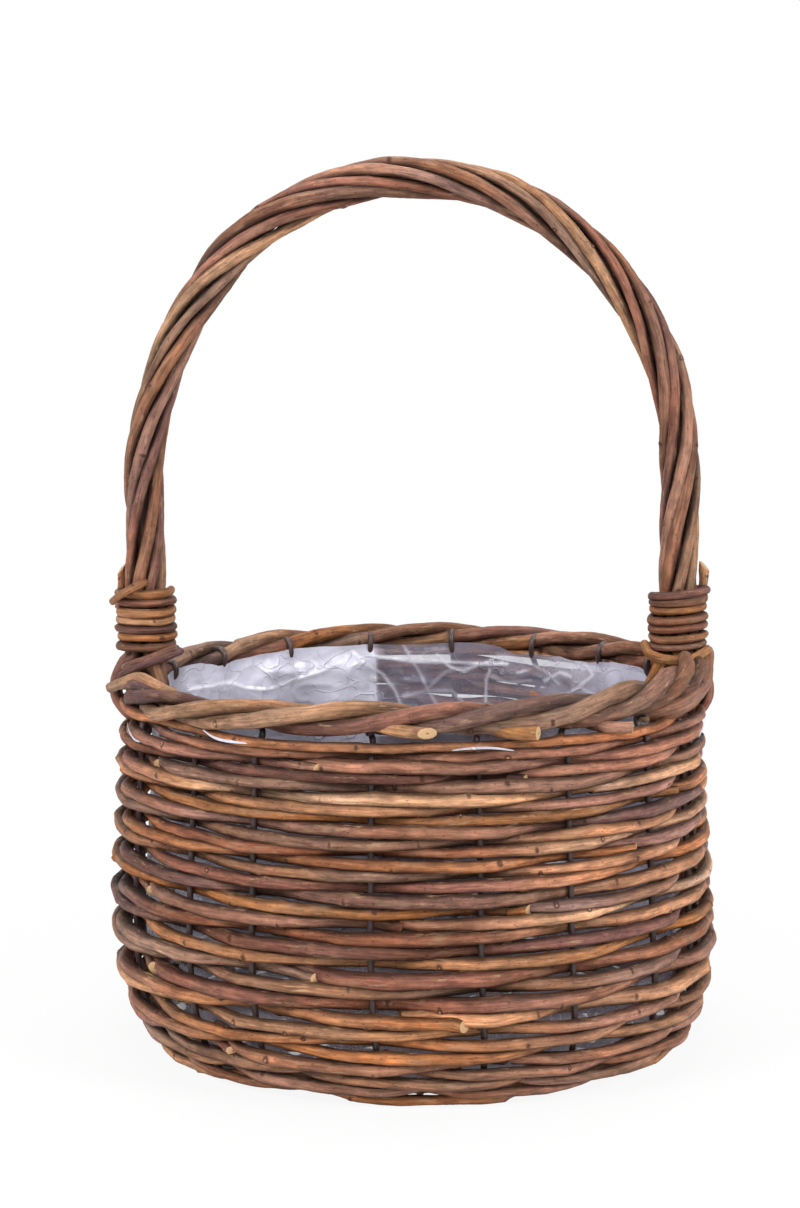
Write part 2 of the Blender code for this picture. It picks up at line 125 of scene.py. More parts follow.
# The wall's rods at the front, from the lowest up: tones at the left, in the middle and at the right,
# and the diameter in millimetres
FRONT_ROWS = (
    ("tan", "orange", "tan", 5.0), ("brown", "brown", "mauve", 4.9), ("mauve", "mauve", "grey", 5.0),
    ("grey", "grey", "brown", 5.2), ("grey", "grey", "mauve", 5.2), ("rose", "mauve", "mauve", 5.6),
    ("brown", "orange", "tan", 5.8), ("orange", "orange", "grey", 5.7), ("tan", "tan", "mauve", 5.9),
    ("rose", "orange", "tan", 7.0), ("rose", "rose", "mauve", 6.7), ("grey", "grey", "grey", 6.5),
    ("grey", "rose", "brown", 7.0), ("orange", "tan", "gold", 6.0), ("plum", "dark", "rose", 6.2),
    ("dusk", "red", "tan", 6.6), ("mauve", "mauve", "straw", 5.9), ("gold", "gold", "grey", 5.7),
    ("plum", "dusk", "tan", 6.6), ("brown", "rose", "orange", 5.9), ("tan", "grey", "tan", 5.7),
    ("orange", "orange", "mauve", 5.8), ("orange", "red", "straw", 5.5), ("grey", "grey", "tan", 5.8),
    ("mauve", "mauve", "dusk", 6.1), ("orange", "gold", "orange", 5.3), ("tan", "tan", "mauve", 5.4),
    ("rose", "straw", "straw", 6.2), ("mauve", "grey", "grey", 5.6), ("brown", "dark", "mauve", 5.2),
    ("mauve", "mauve", "mauve", 5.9), ("mauve", "brown", "mauve", 4.9),
    ("orange", "orange", "orange", 5.2),
)

# How bright and warm those rods are at three of the rows, for red, green and blue
LIGHT_ROWS = (10, 17, 29)
ROW_LIGHTS = {
    "left": ((1.34, 1.34, 1.38), (1.02, 0.86, 0.80), (1.06, 0.94, 0.95)),
    "middle": ((1.07, 0.97, 0.89), (1.05, 0.92, 0.84), (1.02, 0.94, 0.94)),
    "right": ((1.30, 1.17, 1.10), (1.24, 1.18, 1.28), (1.24, 1.09, 1.08)),
}

# Where the middle's and the right's tones start, and over how much they change, in stakes
MIDDLE_FROM = 4.6
RIGHT_FROM = 8.5
FRONT_MIDDLE = 7.5
TONE_CHANGE = 1.6

# How far along the stake line some of those rows lie
ROW_MARKS = (0, 4, 7, 10, 13, 16, 19, 22, 25, 28, 31, 32)
ROW_DISTANCES = (
    0.0072, 0.0208, 0.0360, 0.0552, 0.0738, 0.0915, 0.1082, 0.1236, 0.1384, 0.1525, 0.1668, 0.1708,
)

# Places where a rod of the wall is seen to end: row, and stakes from the seam. The tone changes there
SHOWN_CUTS = (
    (30, 6.60), (29, 8.50), (28, 4.50), (25, 10.60), (24, 3.35), (21, 9.70), (17, 8.50), (16, 4.45),
    (12, 6.60), (10, 4.50), (9, 7.80), (5, 5.60),
)

# At such a cut the old rod's end comes out and down, and the new rod's start goes in and up. The
# overlap and the fade are in stakes
CUT_OVERLAP = 0.55
CUT_FADE = 0.8
CUT_SLANT = 0.9
OLD_END_OUT = 1.6 * MM
OLD_END_DOWN = 1.0 * MM
OLD_END_SHARE = 0.84
NEW_START_IN = 5.0 * MM
NEW_START_UP = 1.5 * MM
NEW_START_SHARE = 1.10


def smooth_share(share):
    """A share from 0 to 1 that starts and ends gently."""
    share = np.clip(share, 0, 1)
    return share * share * (3 - 2 * share)


def bell(distance, width):
    """A hump of height 1 over a distance of zero."""
    return np.exp(-((distance / width) ** 2))


def wander(marks, spacing, rng):
    """Smooth random values from -1 to 1 at places along a line, with a new value every spacing."""
    places = (np.asarray(marks) - np.min(marks)) / spacing
    values = rng.uniform(-1, 1, int(np.max(places)) + 2)
    index = places.astype(int)
    share = smooth_share(places - index)
    return values[index] * (1 - share) + values[index + 1] * share


def uneven(marks, change, rng):
    """Smooth random changes along a line, from their size and the length over which they come."""
    size, length = change
    return size * wander(marks, length, rng)


def read_rows(wanted, places, rows):
    """Points or colours, one row for each place, read at the wanted places between them."""
    rows = np.asarray(rows)
    return np.stack([np.interp(wanted, places, rows[:, band]) for band in range(rows.shape[1])], axis=1)


FINE_STEPS = 8


def spline(points):
    """A fine smooth curve through points: where each of its points lies between them, and the marks."""
    points = np.asarray(points, float)
    padded = np.vstack([2 * points[0] - points[1], points, 2 * points[-1] - points[-2]])
    places = np.linspace(0, len(points) - 1, FINE_STEPS * (len(points) - 1) + 1)
    index = np.minimum(places.astype(int), len(points) - 2)
    share = (places - index)[:, None]
    before, start, end, after = (padded[index + offset] for offset in range(4))
    curve = 2 * start + (end - before) * share
    curve += (2 * before - 5 * start + 4 * end - after) * share ** 2
    curve += (3 * start - before - 3 * end + after) * share ** 3
    curve /= 2
    marks = np.concatenate([[0], np.cumsum(np.linalg.norm(np.diff(curve, axis=0), axis=1))])
    return curve, places, marks


def even_marks(length, step):
    return np.linspace(0, length, max(3, round(length / step) + 1))


# Closer marks round a knot, and the least step between two marks
KNOT_STEPS = np.array((-4.2, -3.0, -2.0, -1.2, -0.6, 0, 0.6, 1.2, 2.0, 3.0, 4.2)) * MM
LEAST_STEP = 0.4 * MM


def ring_marks(length, step, knot_places):
    """Marks a step apart, with closer ones at each knot."""
    fine = (np.asarray(knot_places)[:, None] + KNOT_STEPS[None, :]).ravel() if len(knot_places) else []
    marks = np.unique(np.concatenate([even_marks(length, step), fine]))
    kept = [0.0]
    for mark in marks[(marks >= 0) & (marks < length - LEAST_STEP)]:
        if mark - kept[-1] >= LEAST_STEP:
            kept.append(mark)
    return np.array(kept + [length])


# A direction that no tube starts along
UNUSED_DIRECTION = (0.3, 0.2, 0.9)


def carried_frames(points):
    """Two directions across a curve at each of its points, carried along it without twist."""
    tangents = np.gradient(points, axis=0)
    tangents /= np.linalg.norm(tangents, axis=1)[:, None]
    side = np.cross(tangents[0], UNUSED_DIRECTION)
    sides = []
    for tangent in tangents:
        side = side - tangent * (side @ tangent)
        side = side / np.linalg.norm(side)
        sides.append(side)
    sides = np.array(sides)
    return tangents, sides, np.cross(tangents, sides)


def ring_directions(across, up, angles):
    """Directions round a curve at each of its points."""
    return across[:, None, :] * np.cos(angles)[None, :, None] + up[:, None, :] * np.sin(angles)[None, :, None]


def closed_grid(rows, columns):
    """Quads of a grid of vertices whose rows each meet themselves."""
    faces = []
    for row in range(rows - 1):
        for column in range(columns):
            following = (column + 1) % columns
            below, above = row * columns, (row + 1) * columns
            faces.append((below + column, below + following, above + following, above + column))
    return faces


# The painted values of a vertex: tone, grain, wear and knot
PAINTED = 8
TONE, GRAIN, WEAR, KNOT = slice(0, 3), slice(3, 6), 6, 7
GRAIN_ACROSS = slice(4, 6)
SHARP_ANGLE = math.radians(55)


class Piece:
    """The mesh of one piece, filled tube by tube, with the painted values that its bark reads."""

    def __init__(self):
        self.points = []
        self.faces = []
        self.painted = []
        self.count = 0

    def add(self, points, faces, painted):
        """Vertices, faces by their place among those vertices, and a row of painted values each."""
        self.points.append(points)
        self.painted.append(painted)
        self.faces += [[corner + self.count for corner in face] for face in faces]
        self.count += len(points)

    def build(self, name, material, nodes=()):
        """The finished object, which rides on the basket and stands for the given solids."""
        points = np.vstack(self.points)
        points[:, 0] += FOOT_SHIFT * smooth_share(1 - points[:, 2] / FOOT_SHIFT_HEIGHT)
        points[:, 2] = np.maximum(points[:, 2], FLOOR_CLEARANCE)
        mesh = bpy.data.meshes.new(name)
        mesh.from_pydata(points.tolist(), [], self.faces)
        painted = np.vstack(self.painted).astype(np.float32)
        tone = mesh.attributes.new("tone", "FLOAT_COLOR", "POINT")
        tone.data.foreach_set("color", np.hstack([painted[:, TONE], np.ones((self.count, 1))]).ravel())
        grain = mesh.attributes.new("grain", "FLOAT_VECTOR", "POINT")
        grain.data.foreach_set("vector", painted[:, GRAIN].ravel())
        for band, attribute in ((WEAR, "wear"), (KNOT, "knot")):
            values = mesh.attributes.new(attribute, "FLOAT", "POINT")
            values.data.foreach_set("value", painted[:, band].ravel())
        mesh.materials.append(material)
        mesh.shade_smooth()
        mesh.set_sharp_from_angle(angle=SHARP_ANGLE)
        obj = bpy.data.objects.new(name, mesh)
        bpy.context.scene.collection.objects.link(obj)
        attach(obj, "root")
        if nodes:
            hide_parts(*nodes)
        return obj


# A knot's width in millimetres, how far round the rod it reaches, the swelling about it, and the
# scar and the partial ring that mark it, whose dark is partly painted shade round the lump
KNOT_WIDTHS = (1.3, 2.4)
KNOT_SPREAD = 0.55
FIRST_KNOT = (0.2, 1)
KNOT_GAPS = (0.6, 1.5)
LUMP_SHARES = (0.3, 1)
SCAR_SHARES = (0.6, 1)
SWELLING_SHARE = 0.22
SWELLING_WIDTHS = 3
SCAR_WIDTH_SHARE = 0.75
RING_WIDTH = 0.6 * MM
RING_SPREAD = 1.5
RING_STRENGTH = 0.46


def knot_row(length, spacing, rng):
    """Marks along a rod at which its buds sat."""
    places = []
    at = rng.uniform(*FIRST_KNOT) * spacing
    while at < length:
        places.append(at)
        at += rng.uniform(*KNOT_GAPS) * spacing
    return places


def knots(marks, angles, places, rng, height):
    """Lumps where a rod's buds sat, as a factor on its radius, and how near each vertex is to one."""
    lumps = np.zeros((len(marks), len(angles)))
    nearness = np.zeros_like(lumps)
    for at in places:
        centre = rng.uniform(0, TURN)
        width = rng.uniform(*KNOT_WIDTHS) * MM
        lump = rng.uniform(*LUMP_SHARES) * height
        turned = np.angle(np.exp(1j * (angles - centre)))
        across = bell(turned, KNOT_SPREAD)[None, :]
        lumps += lump * bell(marks - at, width)[:, None] * across
        lumps += SWELLING_SHARE * lump * bell(marks - at, SWELLING_WIDTHS * width)[:, None]
        scar = bell(marks - at, SCAR_WIDTH_SHARE * width)[:, None] * across
        nearness = np.maximum(nearness, rng.uniform(*SCAR_SHARES) * scar)
        ring = bell(marks - at, RING_WIDTH)[:, None] * bell(turned, RING_SPREAD)[None, :]
        nearness = np.maximum(nearness, rng.uniform(0, RING_STRENGTH) * ring)
    return lumps, nearness


# Where a neighbour starts to hide a vertex and painted shade darkens it: above and below it, or out of the
# middle of a bundle
HIDDEN_FROM = 0.42
HIDDEN_INSIDE = 0.65
HIDDEN_CHANGE = 0.5


def painted_shade_share(ring, places, away):
    """How much of each vertex a neighbour hides, and so how much painted shade darkens it: above and below
    it, or beside it in a bundle.
    """
    if away is None:
        return smooth_share((np.abs(ring[:, :, 2]) - HIDDEN_FROM) / HIDDEN_CHANGE)
    away = read_rows(places, np.arange(len(away)), away)
    return smooth_share((HIDDEN_INSIDE - (ring * away[:, None, :]).sum(axis=2)) / HIDDEN_CHANGE)


# A rod's look where its maker asks for nothing else: sides and step of its mesh, its knots' spacing and
# height, how oval it is, how slanted each end is cut and which way the cut faces, which ends show pale
# wood, how much bark is peeled, the kinks' size, the height's share of the width, how much painted shade
# darkens the bark where it faces a neighbour, and for a rod of a bundle the way out of the bundle along its
# route
PLAIN_ROD = {
    "sides": 12, "step": 2.5 * MM, "knot_spacing": 0.040, "knot_height": 0.26, "oval": 0.06,
    "slants": (0.35, 0.35), "facings": (None, None), "pale": (True, True), "peel": 0.0,
    "kink": 0.25 * MM, "flat": 1.0, "crevice_shade": 0.0, "away": None,
}

# How uneven every rod is. A change has a size and the length over which it comes
KINK_AT_KNOTS = 2.2
KINK_CHANGE = (0.7, 0.010)
GIRTH_CHANGE = (0.06, 0.016)
OVAL_CHANGE = (2.0, 0.05)
SHADE_CHANGE = (0.30, 0.024)
HUE_CHANGE = (0.16, 0.045)
HUE_RED_SHARE = 0.6
RIPPLE = 0.024
PEEL_FROM = 0.4
PEEL_LENGTH = 0.02
CUT_LENGTH = 0.010
GRAIN_START = 10


def rod_tone(tone, marks, rng):
    """A rod's tone along it, now brighter and now darker, now redder and now bluer."""
    tone = tone * (1 + uneven(marks, SHADE_CHANGE, rng))[:, None]
    shift = uneven(marks, HUE_CHANGE, rng)
    return tone * np.stack([1 + HUE_RED_SHARE * shift, np.ones_like(marks), 1 - shift], axis=1)


def end_slants(marks, angles, radii, across, up, look, rng):
    """How far the slanted cuts shift each vertex along the rod."""
    slant = np.zeros((len(marks), len(angles)))
    for end, sense, amount, facing in zip((0, -1), (1, -1), look["slants"], look["facings"]):
        lean_angle = rng.uniform(0, TURN)
        if facing is not None:
            lean_angle = math.atan2(up[end] @ facing, across[end] @ facing)
        lean = sense * amount * np.cos(angles - lean_angle)
        fade = np.clip(1 - np.abs(marks - marks[end]) / CUT_LENGTH, 0, 1)
        slant += fade[:, None] * lean[None, :] * radii[end]
    return slant


def add_rod(piece, route, diameters, tones, rng, **look):
    """A willow rod along a route, with knots, an uneven section and pale cut ends.

    diameters and tones have a row for each point of the route. The look overrides a plain rod's.
    """
    look = {**PLAIN_ROD, **look}
    sides = look["sides"]
    curve, curve_places, curve_marks = spline(route)
    knot_places = knot_row(curve_marks[-1], look["knot_spacing"], rng)
    marks = ring_marks(curve_marks[-1], look["step"], knot_places)
    points = read_rows(marks, curve_marks, curve)
    places = np.interp(marks, curve_marks, curve_places)
    index = np.arange(len(route))
    radii = np.interp(places, index, np.broadcast_to(diameters, len(route))) / 2
    tone = read_rows(places, index, np.broadcast_to(tones, (len(route), 3)))
    tangents, across, up = carried_frames(points)
    bends = np.concatenate([[0], knot_places, [marks[-1]]])
    for direction in (across, up):
        bent = np.interp(marks, bends, rng.uniform(-KINK_AT_KNOTS, KINK_AT_KNOTS, len(bends)))
        bent = bent + uneven(marks, KINK_CHANGE, rng)
        points = points + direction * (look["kink"] * bent)[:, None]
    angles = np.linspace(0, TURN, sides, endpoint=False)

    radii = radii * (1 + uneven(marks, GIRTH_CHANGE, rng))
    lumps, nearness = knots(marks, angles, knot_places, rng, look["knot_height"])
    drift = rng.uniform(0, TURN) + uneven(marks, OVAL_CHANGE, rng)
    oval = look["oval"] * np.cos(2 * (angles[None, :] - drift[:, None]))
    ripple = RIPPLE * rng.uniform(-1, 1, (len(marks), sides))
    radius = radii[:, None] * (1 + lumps + oval + ripple)
    tone = rod_tone(tone, marks, rng)
    slant = end_slants(marks, angles, radii, across, up, look, rng)
    ring = ring_directions(across, up, angles)
    vertices = points[:, None, :] + ring * radius[:, :, None] + tangents[:, None, :] * slant[:, :, None]
    middle_height = points[:, None, 2]
    vertices[:, :, 2] = middle_height + (vertices[:, :, 2] - middle_height) * look["flat"]

    painted = np.zeros((len(marks), sides, PAINTED))
    # Painted shade: the bark is darkened where a neighbouring rod hides it
    hidden = painted_shade_share(ring, places, look["away"]) * look["crevice_shade"]
    painted[:, :, TONE] = tone[:, None, :] * (1 - hidden)[:, :, None]
    grain = marks[:, None], radii[:, None] * np.cos(angles), radii[:, None] * np.sin(angles)
    painted[:, :, GRAIN] = np.stack(np.broadcast_arrays(*grain), axis=2) + rng.uniform(0, GRAIN_START, 3)
    peeled = np.clip(wander(marks, PEEL_LENGTH, rng) - PEEL_FROM, 0, 1)
    painted[:, :, WEAR] = look["peel"] * peeled[:, None]
    painted[:, :, KNOT] = nearness

    faces = closed_grid(len(marks), sides)
    count = len(marks) * sides
    mesh = vertices.reshape(-1, 3), painted.reshape(-1, PAINTED), faces
    for end, outward, pale in zip((0, -1), (-1, 1), look["pale"]):
        mesh = cap(*mesh, count, sides, end, outward * tangents[end], pale)
    vertices, painted, faces = mesh
    piece.add(vertices, faces, painted)


# The rings of a cut end: share of the rod's radius, how far it stands out and how worn it is, where 1
# is pale wood and 2 is pith
CAP_RINGS = ((0.93, 0.25 * MM, 1.0), (0.22, 0.32 * MM, 1.0), (0.12, 0.30 * MM, 2.0))
CAP_TIP_OUT = 0.30 * MM


def cap(vertices, painted, faces, count, sides, end, outward, pale):
    """Close one end of a rod with a bevelled face, which shows pale wood round a dark pith."""
    edge = np.arange(sides) if end == 0 else np.arange(count - sides, count)
    middle = vertices[edge].mean(axis=0)
    first = len(vertices)
    added, values = [], []
    for share, out, wear in CAP_RINGS:
        added.append(middle + (vertices[edge] - middle) * share + outward * out)
        value = painted[edge].copy()
        centre = value[:, GRAIN_ACROSS].mean(axis=0)
        value[:, GRAIN_ACROSS] = centre + (value[:, GRAIN_ACROSS] - centre) * share
        value[:, WEAR] = wear * pale
        value[:, KNOT] = 0
        values.append(value)
    added.append((middle + outward * CAP_TIP_OUT)[None, :])
    values.append(values[-1].mean(axis=0)[None, :])
    rings = [edge] + [np.arange(first + sides * ring, first + sides * (ring + 1)) for ring in range(3)]
    tip = first + 3 * sides
    caps = [
        (outer[side], outer[(side + 1) % sides], inner[(side + 1) % sides], inner[side])
        for outer, inner in zip(rings, rings[1:])
        for side in range(sides)
    ]
    caps += [(rings[-1][side], rings[-1][(side + 1) % sides], tip) for side in range(sides)]
    faces += [face[::-1] if end == 0 else face for face in caps]
    return np.vstack([vertices] + added), np.vstack([painted] + values), faces


def stake_line():
    """Distance, radius, height and outward direction along a stake's middle, from base to border."""
    foot_height = BASE_THICKNESS / 2
    width = BELLY_RADIUS - BASE_RADIUS
    height = BELLY_HEIGHT - foot_height
    direction = np.linspace(0, math.pi / 2, LINE_STEPS + 1)
    angle = np.arctan2(width * np.sin(direction), height * np.cos(direction))
    rise_share = np.arange(1, LINE_STEPS + 1) / LINE_STEPS
    taper_share = (1 - np.cos(math.pi * rise_share)) / 2
    radii = np.concatenate([
        BASE_RADIUS + width * np.sin(angle),
        BELLY_RADIUS + (RIM_RADIUS - BELLY_RADIUS) * taper_share,
    ])
    heights = np.concatenate([
        BELLY_HEIGHT - height * np.cos(angle),
        BELLY_HEIGHT + (BORDER_HEIGHT - BELLY_HEIGHT) * rise_share,
    ])
    marks = np.concatenate([[0], np.cumsum(np.hypot(np.diff(radii), np.diff(heights)))])
    return marks, radii, heights, np.gradient(heights, marks), -np.gradient(radii, marks)


STAKE_LINE = stake_line()


def wall_place(distance, offset):
    """Radius and height at a distance along the stake line and an offset out of the wall."""
    marks, radii, heights, out_radius, out_height = STAKE_LINE
    radius = np.interp(distance, marks, radii) + offset * np.interp(distance, marks, out_radius)
    height = np.interp(distance, marks, heights) + offset * np.interp(distance, marks, out_height)
    return radius, height


def around(radius, angle, height):
    """Points from their radii, angles and heights."""
    radius, angle, height = np.broadcast_arrays(radius, angle, height)
    return np.stack([radius * np.cos(angle), radius * np.sin(angle), height], axis=-1)


def stake_angles(stakes):
    """Angles of places counted in stakes. The front stakes stand off their even places."""
    shifts = np.zeros(STAKE_COUNT + 1)
    shifts[FIRST_SHIFTED_STAKE:FIRST_SHIFTED_STAKE + len(STAKE_SHIFT_SHARES)] = STAKE_SHIFT_SHARES
    stakes = np.asarray(stakes, float)
    return STAKE_ANGLE * (stakes + np.interp(stakes % STAKE_COUNT, np.arange(STAKE_COUNT + 1), shifts))


def sighted(route):
    """World points from image x, image y and world y in millimetres: where the camera sees them."""
    forward = np.array((0, math.cos(CAMERA_PITCH), -math.sin(CAMERA_PITCH)))
    upward = np.array((0, math.sin(CAMERA_PITCH), math.cos(CAMERA_PITCH)))
    points = []
    for image_x, image_y, depth in route:
        ray = forward + upward * (IMAGE_HEIGHT / 2 - image_y) / FOCAL_PIXELS
        ray[0] += (image_x - IMAGE_WIDTH / 2) / FOCAL_PIXELS
        points.append(CAMERA_PLACE + ray * (depth * MM - CAMERA_PLACE[1]) / ray[1])
    return np.array(points)


def tone_rows(names):
    """Colours of named tones, one row each."""
    return np.array([TONES[name] for name in names])


# The weave's wave at its four stakes, -1 inside and 1 outside, and its slope at the outer two
WAVE_VALUES = np.array((-1.0, 1.0, 1.0, -1.0))
WAVE_SLOPES = np.array((0.0, 0.35, -0.35, 0.0))


def weave_wave(phase):
    """How far in or out a rod is: -1 at the stake it passes inside, 1 at the next two stakes."""
    index = np.floor(phase).astype(int)
    share = phase - index
    start = (2 * share ** 3 - 3 * share ** 2 + 1) * WAVE_VALUES[index]
    end = (3 * share ** 2 - 2 * share ** 3) * WAVE_VALUES[index + 1]
    start_slope = (share ** 3 - 2 * share ** 2 + share) * WAVE_SLOPES[index]
    end_slope = (share ** 3 - share ** 2) * WAVE_SLOPES[index + 1]
    return start + end + start_slope + end_slope


def wale_ends(rod):
    """The first and last stake of one of the wale's sequences."""
    step = STEP_UP_STAKES // RODS_IN_WALE
    return -(RODS_IN_WALE - 1 - rod) * step, ROUNDS * STAKE_COUNT - (rod + 1) * step


def wale_cuts(rod):
    """Where the rods of one sequence end, as in the solids: just past a stake they pass inside."""
    start, end = wale_ends(rod)
    cuts = [start]
    for index in range(1, RODS_PER_SEQUENCE):
        stake = round(start + (end - start) * index / RODS_PER_SEQUENCE)
        cuts.append(stake + (rod - stake) % RODS_IN_WALE + ROD_END_STAKE_SHARE)
    return cuts + [end]


def row_tones():
    """Every row's tones at the left, in the middle and at the right, under the photograph's light."""
    rows = np.arange(len(FRONT_ROWS))
    return [
        tone_rows([row[part] for row in FRONT_ROWS]) * read_rows(rows, LIGHT_ROWS, ROW_LIGHTS[name])
        for part, name in enumerate(("left", "middle", "right"))
    ]


# The weave's points for each stake, and how a rod's thickness, lie and place change along it
WEAVE_STEPS = 6
THICKNESS_CHANGE = (0.05, 0.12)
LIE_CHANGE = (0.35 * MM, 0.05)
PLACE_CHANGE = (0.6 * MM, 0.05)


def weave(rng):
    """Travel, distance along the wall, offset, diameter and tones of the wale's three sequences."""
    left, middle, right = row_tones()
    diameters = np.array([row[3] for row in FRONT_ROWS]) * MM
    row_distances = np.interp(np.arange(len(FRONT_ROWS)), ROW_MARKS, ROW_DISTANCES)
    sequences = []
    for rod in range(RODS_IN_WALE):
        first, last = wale_ends(rod)
        travel = np.linspace(first, last, (last - first) * WEAVE_STEPS + 1)
        rounds, in_round = np.divmod(np.maximum(travel, 0), STAKE_COUNT)
        share = np.clip((in_round - STAKE_COUNT + STEP_UP_STAKES) / STEP_UP_STAKES, 0, 1)
        low = rod + RODS_IN_WALE * rounds.astype(int)
        high = np.minimum(low + RODS_IN_WALE, len(FRONT_ROWS) - 1)
        mix = smooth_share(share)[:, None]
        length = travel * STAKE_ANGLE * BELLY_RADIUS
        diameter = diameters[low] + (diameters[high] - diameters[low]) * mix[:, 0]
        diameter = diameter * (1 + uneven(length, THICKNESS_CHANGE, rng))
        distance = row_distances[low] + (row_distances[high] - row_distances[low]) * share
        wave = weave_wave((travel - rod) % RODS_IN_WALE)
        offset = wave * (STAKE_RADIUS + diameter / 2) + uneven(length, LIE_CHANGE, rng)
        sequences.append({
            "travel": travel,
            "target": distance + uneven(length, PLACE_CHANGE, rng),
            "offset": offset,
            "diameter": diameter,
            "left": left[low],
            "middle": middle[low],
            "right": right[low] + (left[high] - right[low]) * mix,
        })
    settle(sequences)
    return sequences


# Settling: how often rods are pushed apart, how hard, how much they are drawn to their own rows, and
# how much each one straightens
SETTLE_ROUNDS = 160
SETTLE_PUSH = 0.25
SETTLE_PULL = 0.015
SETTLE_STRAIGHTEN = 0.12


def stacked_pairs(column, target):
    """Which points of the weave lie next, or next but one, above each other."""
    lower, upper = [], []
    for number in range(STAKE_COUNT * WEAVE_STEPS):
        stack = np.flatnonzero(column == number)
        stack = stack[np.argsort(target[stack])]
        for reach in (1, 2):
            lower.append(stack[:-reach])
            upper.append(stack[reach:])
    return np.concatenate(lower), np.concatenate(upper)


def settle(sequences):
    """Shift the rods along the wall until neighbours lie beside each other, not in each other."""
    starts = np.cumsum([0] + [len(sequence["travel"]) for sequence in sequences])
    travel, target, offset, diameter = (
        np.concatenate([sequence[key] for sequence in sequences])
        for key in ("travel", "target", "offset", "diameter")
    )
    radius = diameter / 2
    column = np.round(travel * WEAVE_STEPS).astype(int) % (STAKE_COUNT * WEAVE_STEPS)
    lower, upper = stacked_pairs(column, target)
    across = offset[upper] - offset[lower]
    needed = np.sqrt(np.maximum((radius[upper] + radius[lower]) ** 2 - across ** 2, 0))
    distance = target.copy()
    for _ in range(SETTLE_ROUNDS):
        short = np.maximum(needed - (distance[upper] - distance[lower]), 0) * SETTLE_PUSH
        np.add.at(distance, upper, short)
        np.add.at(distance, lower, -short)
        distance += SETTLE_PULL * (target - distance)
        for first, last in zip(starts, starts[1:]):
            run = distance[first:last]
            run[1:-1] += SETTLE_STRAIGHTEN * (run[:-2] + run[2:] - 2 * run[1:-1])
        distance = np.clip(distance, ROW_DISTANCES[0] - MM, ROW_DISTANCES[-1] + MM)
    for sequence, first, last in zip(sequences, starts, starts[1:]):
        sequence["distance"] = distance[first:last]


def shown_cuts(rod):
    """The cuts of one sequence that the photograph shows, as stakes travelled."""
    return sorted(
        row // RODS_IN_WALE * STAKE_COUNT + in_round
        for row, in_round in SHOWN_CUTS
        if row % RODS_IN_WALE == rod
    )


def stop_tones(sequence, cuts, stops, first, last):
    """Tones at the stops of a rod from first to last: left, middle and right, changed at a cut."""
    left, middle, right = (
        read_rows(stops, sequence["travel"], sequence[part]) for part in ("left", "middle", "right")
    )
    in_round = stops % STAKE_COUNT
    shares = [smooth_share((in_round - place) / TONE_CHANGE + 0.5) for place in (MIDDLE_FROM, RIGHT_FROM)]
    for cut, value in ((first, 1), (last, 0)):
        if cut in cuts:
            same_round = np.abs(stops - cut) < STAKE_COUNT / 3
            shares[0 if cut % STAKE_COUNT < FRONT_MIDDLE else 1][same_round] = value
    to_middle, to_right = (share[:, None] for share in shares)
    tones = left + (middle - left) * to_middle
    return tones + (right - tones) * to_right


# The wall's rods end in no cut of their own nearer than this to a point of the weave, in stakes
LEAST_STOP = 0.05
LEAST_ROD_CLEARANCE = 0.2 * MM
THIN_END_STAKES = 2
WALL_ROD_LOOK = {
    "peel": 0.5, "crevice_shade": 0.80, "knot_height": 0.40, "knot_spacing": 0.034, "kink": 0.34 * MM,
}
END_SLANT = 0.35


def wale_piece(sequence, rod, start, end, number, rng):
    """One rod of the solids, parted where the photograph shows another end between its two."""
    piece = Piece()
    cuts = shown_cuts(rod)
    inside = [place for place in cuts if start < place < end]
    travel = sequence["travel"]
    for first, last in zip([start] + inside, inside + [end]):
        new_start, old_end = first in inside, last in inside
        ends = (first, last)
        if new_start:
            first -= CUT_OVERLAP
        between = travel[(travel > first + LEAST_STOP) & (travel < last - LEAST_STOP)]
        stops = np.concatenate([[first], between, [last]])
        distance, offset, diameter = (
            np.interp(stops, travel, sequence[key]) for key in ("distance", "offset", "diameter")
        )
        facing = None
        if new_start:
            from_start = 1 - smooth_share((stops - first) / CUT_FADE)
            offset = offset - NEW_START_IN * from_start
            distance = distance + NEW_START_UP * from_start
            thicker = (NEW_START_SHARE - 1) * (1 - smooth_share((stops - first) / STAKE_COUNT))
            diameter = diameter * (1 + thicker)
        if old_end:
            to_end = 1 - smooth_share((last - stops) / CUT_FADE)
            offset = offset + OLD_END_OUT * to_end
            distance = distance - OLD_END_DOWN * to_end
            thinner = (1 - OLD_END_SHARE) * (1 - smooth_share((last - stops) / THIN_END_STAKES))
            diameter = diameter * (1 - thinner)
            facing = around(1.0, stake_angles(SEAM_STAKE + last), 0.0)
        radius, height = wall_place(distance, offset)
        height = np.maximum(height, diameter / 2 + LEAST_ROD_CLEARANCE)
        route = around(radius, stake_angles(SEAM_STAKE + stops), height)
        tone = stop_tones(sequence, cuts, stops, *ends)
        slants = (END_SLANT, CUT_SLANT if old_end else END_SLANT)
        add_rod(piece, route, diameter, tone, rng, slants=slants, facings=(None, facing),
                pale=(False, old_end), **WALL_ROD_LOOK)
    piece.build(f"wall_rod_{number:02d}", BARK, [f"wale_rod_{number:02d}"])


def make_wale():
    rng = np.random.default_rng(11)
    number = 0
    for rod, sequence in enumerate(weave(rng)):
        cuts = wale_cuts(rod)
        for start, end in zip(cuts, cuts[1:]):
            number += 1
            wale_piece(sequence, rod, start, end, number, rng)


